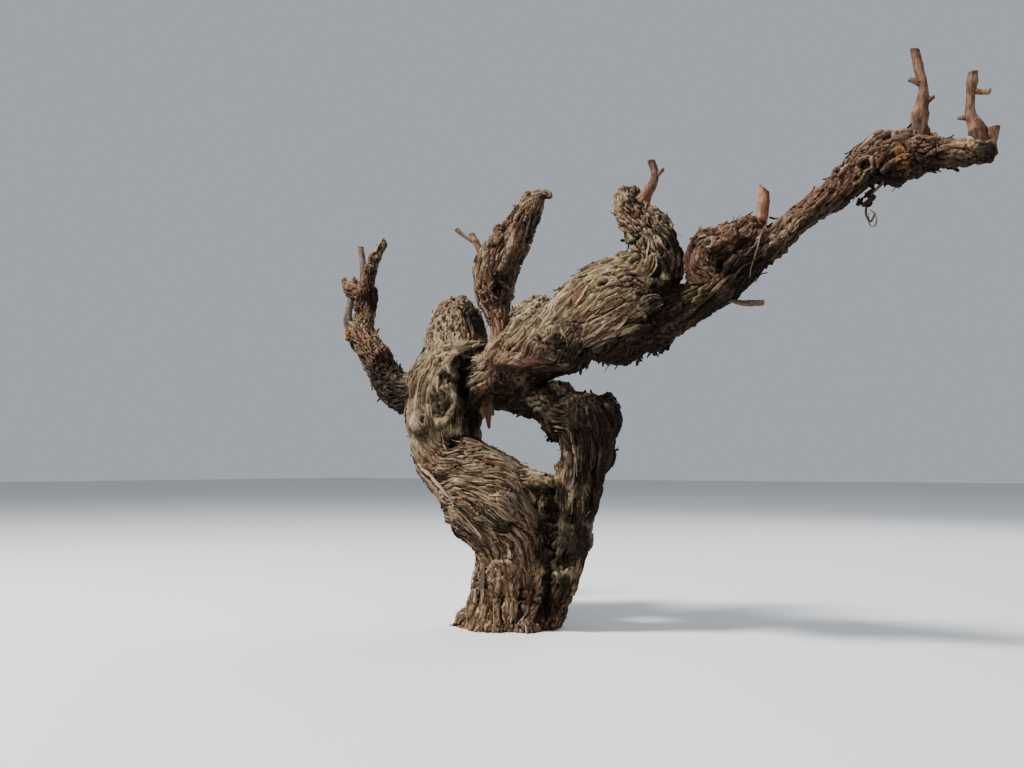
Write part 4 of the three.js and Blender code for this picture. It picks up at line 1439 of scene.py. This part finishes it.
def add_shreds(maker, bark):
    """Short dark shreds that hang under the limbs."""
    random = maker.random
    hanging = patch_strength(bark.places, SHRED_PATCHES, 95)
    hanging = hanging * fade(-bark.soft_normals[:, 2], *SHRED_FACING)
    for start in picked(random, hanging, SHREDS.count):
        steps = int(random.integers(*SHREDS.steps))
        attached = int(random.integers(*SHREDS.attached))
        colour = "dark" if random.random() < DARK_SHREDS else "umber"
        half_width = random.uniform(*SHREDS.half_width)
        droop = random.uniform(*SHREDS.droop)
        maker.add_along_grain(start, steps, attached, SHREDS.opening, droop, half_width, colour)


def add_flakes(maker, bark):
    """Short flakes that stand on the limbs."""
    random = maker.random
    upward = FLAKES_ELSEWHERE + fade(bark.soft_normals[:, 2], *FLAKE_FACING)
    standing = patch_strength(bark.places, JAGGED_PATCHES, 97) * upward * (1 - bark.masks["knot"])
    for start in picked(random, standing, FLAKES.count):
        steps = int(random.integers(*FLAKES.steps))
        colour = strip_colour(bark.masks, start, random)
        half_width = random.uniform(*FLAKES.half_width)
        opening = random.uniform(*FLAKES.opening)
        maker.add_along_grain(start, steps, FLAKES.attached, opening, 0, half_width, colour)


def strip_pieces(bark):
    """The loose strips, joined into a few pieces, each strip in one plain colour."""
    maker = StripMaker(bark, STRIP_SEED)
    add_slivers(maker, bark)
    add_shreds(maker, bark)
    add_flakes(maker, bark)
    for peeling in PEELINGS:
        maker.add_through(*peeling)
    names = list(STRIP_COLOURS)
    materials = [strip_material(name, code) for name, code in STRIP_COLOURS.items()]
    for number, first in enumerate(range(0, len(maker.shapes), STRIPS_A_PIECE)):
        own = maker.shapes[first:first + STRIPS_A_PIECE]
        places, faces = joined(own)
        places[:, 1] = np.clip(places[:, 1], *STRIP_REACH)
        places[:, 2] = np.maximum(places[:, 2], STRIP_FLOOR)
        obj = mesh_object(f"loose_bark_{number + 1}", places, faces)
        for material in materials:
            obj.data.materials.append(material)
        slots = [names.index(colour) for colour in maker.colours[first:first + STRIPS_A_PIECE]]
        counts = [len(own_faces) for _, own_faces in own]
        obj.data.polygons.foreach_set("material_index", np.repeat(slots, counts).astype(np.int32))
        obj.data.shade_smooth()
        obj.data.set_sharp_from_angle(angle=math.radians(STRIP_SHARPNESS))
        seat(obj)


# Spurs and twigs

SPUR_GAP = 0.9
LEAST_SPUR_SIDES = 14
# The joints of a cane: how far apart they are, how long and how thick. Side nubs have none.
NODE_GAP = 17.0
JOINT_LENGTH = 2.4
JOINT_START = 4
JOINT_SWELL = 0.08
# The knobbly wood and its fine ribs, whose noise runs round a cane of one width, and the collar at a
# spur's foot
NOISE_REACH = 2.2
NOISE_LENGTH = 9
ROUGH_SHARE = 0.1
RIB_SHARE = 0.04
RIB_SCALE = (3.2, 3.2, 0.6)
COLLAR_SHARE = 0.3
COLLAR_LENGTH = 0.9
COLLAR_LEVEL = 0.6
NUB_SHARE = 0.8
NUB_SLANT = 0.2
# Each spur's noise starts with its own salt
FIRST_SALT = 100
SALT_STEP = 7
# The rings of the dished cut at a tip, as shares of its width, and how deep its rings and middle are
CUT_RINGS = (0.86, 0.5, 0.22)
CUT_DISH = 0.25
CUT_DEPTH = 0.5
# The cut starts to slant this many widths below the tip
SLANT_LENGTH = 2.5


def cane_reach(line, angles, salt, slim):
    """How far a cane's surface lies from its line, for each ring and side."""
    widest = line.widths.max()
    ring = line.lengths[:, None]
    joint = np.exp(-((((ring + JOINT_START) % NODE_GAP - NODE_GAP / 2) / JOINT_LENGTH) ** 2)) * (slim == 1)
    across, aside = np.cos(angles) * NOISE_REACH, np.sin(angles) * NOISE_REACH
    cane = np.stack(np.broadcast_arrays(across, aside, ring / NOISE_LENGTH), axis=-1)
    flat = cane.reshape(-1, 3)
    rough = noise(flat, salt).reshape(cane.shape[:2])
    ribs = noise(flat * RIB_SCALE, salt + 1).reshape(cane.shape[:2])
    collar = COLLAR_SHARE * np.exp(-ring / (COLLAR_LENGTH * widest)) * (COLLAR_LEVEL + rough)
    knobby = JOINT_SWELL * joint + ROUGH_SHARE * rough + RIB_SHARE * ribs + collar
    return line.widths[:, None] * slim * (1 + knobby)


def cut_tip(rim, tangent):
    """The rings of the dished cut inside a cane's last ring, and its middle."""
    middle = rim.mean(axis=0)
    rings = [middle + (rim - middle) * share - tangent * CUT_DISH * (1 - share) for share in CUT_RINGS]
    return np.concatenate([*rings, (middle - tangent * CUT_DEPTH)[None]])


def spur_tube(stations, slant, salt, slim=1.0):
    """A cane with swollen joints and fine ribs: its vertices and faces, the material of each face, and
    how far up the cane each vertex lies."""
    line = walk_along(stations, SPUR_GAP)
    widest = line.widths.max()
    total = line.lengths[-1]
    sides = max(LEAST_SPUR_SIDES, round(2 * math.pi * widest / SPUR_GAP))
    angles = np.arange(sides) / sides * 2 * math.pi
    outward = line.sides[:, None] * np.sin(angles)[None, :, None]
    outward = outward + line.across[:, None] * np.cos(angles)[None, :, None]
    places = line.centres[:, None] + outward * cane_reach(line, angles, salt, slim)[..., None]
    tilt = slant * line.widths[-1] * np.sin(angles)
    near_tip = fade(line.lengths, total - SLANT_LENGTH * widest, total)[:, None]
    places = places + line.tangents[:, None] * (near_tip * tilt)[..., None]
    tip = cut_tip(places[-1], line.tangents[-1])
    count = len(line.lengths) + len(CUT_RINGS)
    faces = [tuple(face) for face in ring_faces(count, sides).tolist()]
    centre = count * sides
    last = centre - sides
    faces += [(last + side, last + (side + 1) % sides, centre) for side in range(sides)]
    faces.append(tuple(reversed(range(sides))))
    cut = np.zeros(len(faces), int)
    start = (len(line.lengths) - 1) * sides
    cut[start:start + 2 * sides] = 1
    cut[start + 2 * sides:-1] = 2
    height = np.concatenate([np.repeat(line.lengths / total, sides), np.ones(len(CUT_RINGS) * sides + 1)])
    return np.concatenate([places.reshape(-1, 3), tip]), faces, cut, height


def spur_pieces(materials):
    """One piece for each spur and twig, with its side nubs and cut tips."""
    for number, (name, (lines, slant)) in enumerate(SPURS.items()):
        salt = FIRST_SALT + SALT_STEP * number
        tubes = [spur_tube(lines[0], slant, salt)]
        for turn, nub in enumerate(lines[1:], 1):
            tubes.append(spur_tube(nub, NUB_SLANT, salt + turn, NUB_SHARE))
        places, faces = joined([(places, faces) for places, faces, _, _ in tubes])
        obj = mesh_object(name + "_wood", places, faces)
        for material in materials[name]:
            obj.data.materials.append(material)
        slots = np.concatenate([cut for _, _, cut, _ in tubes]).astype(np.int32)
        heights = np.concatenate([height for _, _, _, height in tubes]).astype(np.float32)
        obj.data.attributes.new("height", "FLOAT", "POINT").data.foreach_set("value", heights)
        obj.data.polygons.foreach_set("material_index", slots)
        obj.data.shade_smooth()
        seat(obj, name)


# Materials

def linear(code):
    """A hex colour as the linear red, green and blue that shaders take."""
    parts = [int(code[start:start + 2], 16) / 255 for start in (1, 3, 5)]
    return [part / 12.92 if part <= 0.04045 else ((part + 0.055) / 1.055) ** 2.4 for part in parts] + [1]


# The part of a texture's range over which the roughness changes
TEXTURE_SPAN = (0.3, 0.7)


class Look:
    """A new material and its shader. Most of the methods add a shader node and return what it gives."""

    def __init__(self, name, roughness):
        self.material = bpy.data.materials.new(name)
        self.material.use_nodes = True
        self.tree = self.material.node_tree
        self.shader = self.tree.nodes["Principled BSDF"]
        self.shader.inputs["Roughness"].default_value = roughness

    def link(self, value, slot):
        """Feeds a slot with what another node gives, or with a number or a hex colour."""
        if isinstance(value, str):
            slot.default_value = linear(value)
        elif isinstance(value, (int, float)):
            slot.default_value = value
        else:
            self.tree.links.new(value, slot)

    def place(self):
        return self.tree.nodes.new("ShaderNodeTexCoord").outputs["Object"]

    def attribute(self, name, output="Fac"):
        node = self.tree.nodes.new("ShaderNodeAttribute")
        node.attribute_name = name
        return node.outputs[output]

    def noise(self, place, scale, detail=3, roughness=0.55):
        """Noise over a place that is first stretched by a scale for each axis."""
        stretch = self.tree.nodes.new("ShaderNodeMapping")
        stretch.inputs["Scale"].default_value = scale
        self.link(place, stretch.inputs["Vector"])
        node = self.tree.nodes.new("ShaderNodeTexNoise")
        for name, value in (("Scale", 1), ("Detail", detail), ("Roughness", roughness)):
            node.inputs[name].default_value = value
        self.link(stretch.outputs["Vector"], node.inputs["Vector"])
        return node.outputs["Fac"]

    def maths(self, operation, *values):
        node = self.tree.nodes.new("ShaderNodeMath")
        node.operation = operation
        node.use_clamp = True
        for slot, value in zip(node.inputs, values):
            self.link(value, slot)
        return node.outputs[0]

    def ramp(self, value, stops):
        """A colour ramp through stops of position and hex colour."""
        node = self.tree.nodes.new("ShaderNodeValToRGB")
        bar = node.color_ramp
        while len(bar.elements) < len(stops):
            bar.elements.new(1)
        for element, (position, code) in zip(bar.elements, stops):
            element.position = position
            element.color = linear(code)
        self.link(value, node.inputs["Fac"])
        return node.outputs["Color"]

    def mixed(self, share, first, second):
        """One colour laid over another by a share."""
        node = self.tree.nodes.new("ShaderNodeMix")
        node.data_type = "RGBA"
        self.link(share, node.inputs["Factor"])
        self.link(first, node.inputs[6])
        self.link(second, node.inputs[7])
        return node.outputs[2]

    def span(self, value, start, end, low=0.0, high=1.0):
        """A value moved from one range to another and kept inside it."""
        node = self.tree.nodes.new("ShaderNodeMapRange")
        node.interpolation_type = "SMOOTHSTEP"
        for name, number in (("From Min", start), ("From Max", end), ("To Min", low), ("To Max", high)):
            node.inputs[name].default_value = number
        self.link(value, node.inputs["Value"])
        return node.outputs["Result"]

    def finish(self, colour, texture, dullness, depth, strength):
        """Sets the colour, lets a texture set the roughness and the relief, and returns the material."""
        bump = self.tree.nodes.new("ShaderNodeBump")
        bump.inputs["Distance"].default_value = depth
        bump.inputs["Strength"].default_value = strength
        self.link(texture, bump.inputs["Height"])
        self.link(bump.outputs["Normal"], self.shader.inputs["Normal"])
        self.link(colour, self.shader.inputs["Base Color"])
        self.link(self.span(texture, *TEXTURE_SPAN, *dullness), self.shader.inputs["Roughness"])
        return self.material


BARK_STOPS = [(0.18, "#2a2019"), (0.36, "#524236"), (0.52, "#796856"), (0.7, "#9f8d78"), (0.9, "#cabda6")]
RED_STOPS = [(0.18, "#281813"), (0.4, "#553a30"), (0.6, "#7d5b4c"), (0.85, "#ab8e7c")]
WARM_STOPS = [(0.18, "#36281f"), (0.4, "#745946"), (0.6, "#a5866c"), (0.85, "#d4bca4")]
OLIVE_STOPS = [(0.15, "#3a3125"), (0.4, "#75674f"), (0.6, "#9c8d73"), (0.85, "#c9bda5")]
RAW_STOPS = [(0.35, "#7d5230"), (0.62, "#c99a62")]
GREEN_COLOUR = "#80764a"
LICHEN_COLOUR = "#b5b29c"
RIDGE_HIGHLIGHT_COLOUR = "#cdbfa8"
PAINTED_SHADE_COLOUR = "#1b140f"
KNOT_COLOUR = "#241a13"
CREVICE_SHADE_COLOUR = "#130d09"
FIBRE_COLOUR = "#150f0a"
DULL_SHINE = 0.25
# Scales of the noises in the bark, across and along the grain
FIBRE_SCALE = (900, 900, 70)
STREAK_SCALE = (320, 320, 26)
CLOUD_SCALE = (60, 60, 25)
LICHEN_SCALE = (260, 260, 200)
STRIP_SCALE = (700, 700, 700)
# How much of each colour shows where its mask is full; dark and crevice are painted shade, ridge a painted
# highlight
MOST = {
    "rust": 0.75, "bare": 0.75, "warty": 0.4, "green": 0.5, "lichen": 0.6, "raw": 0.9, "ridge": 0.28,
    "dark": 0.91, "knot": 0.5, "crevice": 0.86,
}


def bark_material():
    """Weathered bark: grey-brown plates, reddish inner bark, olive bare wood and lichen, with painted shade
    in crevices, undersides and shaded places, and painted highlights on ridges.
    """
    look = Look("bark", 0.9)
    look.shader.inputs["Specular IOR Level"].default_value = DULL_SHINE
    grain = look.attribute("grain", "Vector")
    fibres = look.noise(grain, FIBRE_SCALE, detail=4, roughness=0.65)
    streaks = look.noise(grain, STREAK_SCALE)
    clouds = look.noise(grain, CLOUD_SCALE)
    tone = look.maths("MULTIPLY_ADD", look.attribute("shade"), 0.55, look.maths("MULTIPLY", streaks, 0.5))
    colour = look.ramp(tone, BARK_STOPS)

    def share_of(mask):
        return look.maths("MULTIPLY", look.attribute(mask), MOST[mask])

    warm = look.maths("MAXIMUM", share_of("rust"), look.span(clouds, 0.45, 0.62, 0, 0.65))
    colour = look.mixed(warm, colour, look.ramp(tone, WARM_STOPS))
    for mask in ("bare", "warty"):
        colour = look.mixed(share_of(mask), colour, look.ramp(tone, OLIVE_STOPS))
    red = look.maths("MULTIPLY", look.attribute("red"), look.span(clouds, 0.62, 0.42, 0.45, 1))
    colour = look.mixed(red, colour, look.ramp(tone, RED_STOPS))
    colour = look.mixed(share_of("green"), colour, GREEN_COLOUR)
    specks = look.span(look.noise(grain, LICHEN_SCALE, detail=2), 0.58, 0.66)
    lichen = look.maths("MULTIPLY", look.maths("MULTIPLY", specks, look.attribute("lichen")), MOST["lichen"])
    colour = look.mixed(lichen, colour, LICHEN_COLOUR)
    colour = look.mixed(share_of("raw"), colour, look.ramp(streaks, RAW_STOPS))
    # Painted highlight on the ridges of the relief
    colour = look.mixed(look.span(look.attribute("ridge"), 0, 1, 0, MOST["ridge"]), colour, RIDGE_HIGHLIGHT_COLOUR)
    # Painted shade from the dark mask and the crevices; the knot mask darkens the bottoms of the knots
    for mask, darker in (("dark", PAINTED_SHADE_COLOUR), ("knot", KNOT_COLOUR), ("crevice", CREVICE_SHADE_COLOUR)):
        colour = look.mixed(share_of(mask), colour, darker)
    colour = look.mixed(look.span(fibres, 0.35, 0.65, 0.4, 0), colour, FIBRE_COLOUR)
    return look.finish(colour, fibres, dullness=(0.98, 0.75), depth=0.0012, strength=0.8)


def strip_material(name, code):
    """One plain colour of loose bark, with fibres in its relief and dullness."""
    look = Look("loose_" + name, 0.9)
    look.shader.inputs["Specular IOR Level"].default_value = DULL_SHINE
    fibres = look.noise(look.place(), STRIP_SCALE)
    return look.finish(code, fibres, dullness=(0.98, 0.8), depth=0.0006, strength=0.6)


CANE_STOPS = [(0.3, "#271812"), (0.43, "#543828"), (0.56, "#77543d"), (0.76, "#a08166")]
FRESH_CANE_STOPS = [(0.3, "#3a2114"), (0.43, "#6e4630"), (0.56, "#95684c"), (0.76, "#bd9674")]
OLD_CANE_STOPS = [(0.28, "#2a1f1a"), (0.42, "#574840"), (0.58, "#7d6c61"), (0.8, "#a39387")]
TWIG_STOPS = [(0.3, "#2b2019"), (0.5, "#574539"), (0.7, "#8b7a69")]
TIP_COLOUR = "#33231a"
# Scales of the noises in the canes, the twigs and the cuts
RIBBED_SCALE = (900, 900, 90)
BLOOM_SCALE = (130, 130, 70)
TWIG_SCALE = (1100, 1100, 120)
CUT_SCALE = (1400, 1400, 1400)


def cane_material(name, stops, bloom, foot_colour="#331d11", tip_start=0.93):
    """Cane with darker ribs and patches of bloom, a dark foot and tip, and a dull sheen."""
    look = Look(name, 0.6)
    place = look.place()
    ribs = look.noise(place, RIBBED_SCALE, detail=4, roughness=0.65)
    clouds = look.noise(place, BLOOM_SCALE)
    height = look.attribute("height")
    tone = look.maths("MULTIPLY_ADD", ribs, 0.6, look.maths("MULTIPLY", clouds, 0.4))
    colour = look.mixed(look.span(clouds, 0.48, 0.62, 0, 0.75), look.ramp(tone, stops), bloom)
    foot = look.span(look.maths("ADD", height, clouds), 0.9, 0.5, 0, 0.75)
    colour = look.mixed(foot, colour, foot_colour)
    colour = look.mixed(look.span(height, tip_start, 1.0, 0, 0.7), colour, TIP_COLOUR)
    return look.finish(colour, ribs, dullness=(0.8, 0.55), depth=0.0009, strength=0.7)


def twig_material():
    """Thin dark dead wood with a grey bloom."""
    look = Look("dead_twig", 0.85)
    ribs = look.noise(look.place(), TWIG_SCALE)
    colour = look.ramp(ribs, TWIG_STOPS)
    return look.finish(colour, ribs, dullness=(0.95, 0.75), depth=0.0005, strength=0.6)


def cut_material(name, pale, deep):
    """Sawn or clipped wood, weathered, with fine specks."""
    look = Look(name, 0.75)
    specks = look.noise(look.place(), CUT_SCALE, detail=2)
    colour = look.ramp(specks, [(0.35, deep), (0.65, pale)])
    return look.finish(colour, specks, dullness=(0.9, 0.7), depth=0.0003, strength=0.5)


def spur_materials():
    """The wood, the clipped wood and the pith of each spur and twig."""
    woods = dict.fromkeys(SPURS, cane_material("cane", CANE_STOPS, "#7f6a55"))
    woods.update(dict.fromkeys(OLD_SPURS, cane_material("old_cane", OLD_CANE_STOPS, "#6f6056")))
    woods["elbow_spur"] = cane_material("fresh_cane", FRESH_CANE_STOPS, "#94705a", "#2c1a11")
    woods["curled_spur"] = cane_material("rosy_cane", CANE_STOPS, "#6f5a4c", "#74452f", 0.6)
    woods.update(dict.fromkeys(DEAD_SPURS, twig_material()))
    cut = cut_material("clipped_wood", "#b89a70", "#8f6f4c")
    pith = cut_material("pith", "#6b4f36", "#453122")
    return {name: (wood, cut, pith) for name, wood in woods.items()}


# Studio and camera

FLOOR_SIZE = 24
FLOOR_COLOUR = (0.72, 0.73, 0.74, 1)
ROOM_COLOUR = (0.84, 0.89, 0.96, 1)
ROOM_STRENGTH = 0.42
# The lamps' places, sizes, powers and colours, and where they look
LAMPS = {
    "key": ((-1.0, -1.35, 2.6), 0.45, 128, (1.0, 0.96, 0.9)),
    "fill": ((1.9, -1.3, 1.0), 1.4, 4, (0.9, 0.95, 1.0)),
    "back": ((0.3, 2.0, 1.6), 1.2, 18, (0.95, 0.97, 1.0)),
}
LAMP_TARGET = (0.1, 0, 0.3)


def make_floor():
    """A wide pale floor."""
    bpy.ops.mesh.primitive_plane_add(size=FLOOR_SIZE, location=(0, 0, 0))
    floor = bpy.context.object
    floor.name = "floor"
    look = Look("floor", 0.9)
    look.shader.inputs["Base Color"].default_value = FLOOR_COLOUR
    floor.data.materials.append(look.material)


def make_room():
    """A pale room and soft lamps."""
    world = bpy.data.worlds.new("room")
    bpy.context.scene.world = world
    world.use_nodes = True
    background = world.node_tree.nodes["Background"]
    background.inputs["Color"].default_value = ROOM_COLOUR
    background.inputs["Strength"].default_value = ROOM_STRENGTH
    for name, (place, size, power, colour) in LAMPS.items():
        add_lamp(name, place, size, power, colour)
    bpy.context.scene.view_settings.look = "AgX - Medium High Contrast"


def add_lamp(name, place, size, power, colour):
    """A square soft lamp that looks at the middle of the vine."""
    data = bpy.data.lights.new(name, "AREA")
    data.size = size
    data.energy = power
    data.color = colour
    lamp = bpy.data.objects.new(name, data)
    lamp.location = place
    lamp.rotation_euler = (Vector(LAMP_TARGET) - Vector(place)).to_track_quat("-Z", "Y").to_euler()
    bpy.context.scene.collection.objects.link(lamp)


def make_camera():
    """The camera at the photograph's place, with its angle of view."""
    data = bpy.data.cameras.new("camera")
    data.sensor_width = SENSOR_WIDTH
    data.lens = FOCAL_PIXELS * SENSOR_WIDTH / PICTURE_WIDTH
    data.clip_start = CLIP_START
    camera = bpy.data.objects.new("camera", data)
    camera.location = CAMERA_PLACE
    camera.rotation_euler = (math.radians(90 + CAMERA_TILT), 0, math.radians(CAMERA_TURN))
    bpy.context.scene.collection.objects.link(camera)
    bpy.context.scene.camera = camera


bark = make_bark()
bark_pieces(bark, bark_material())
strip_pieces(bark)
spur_pieces(spur_materials())
make_floor()
make_room()
make_camera()
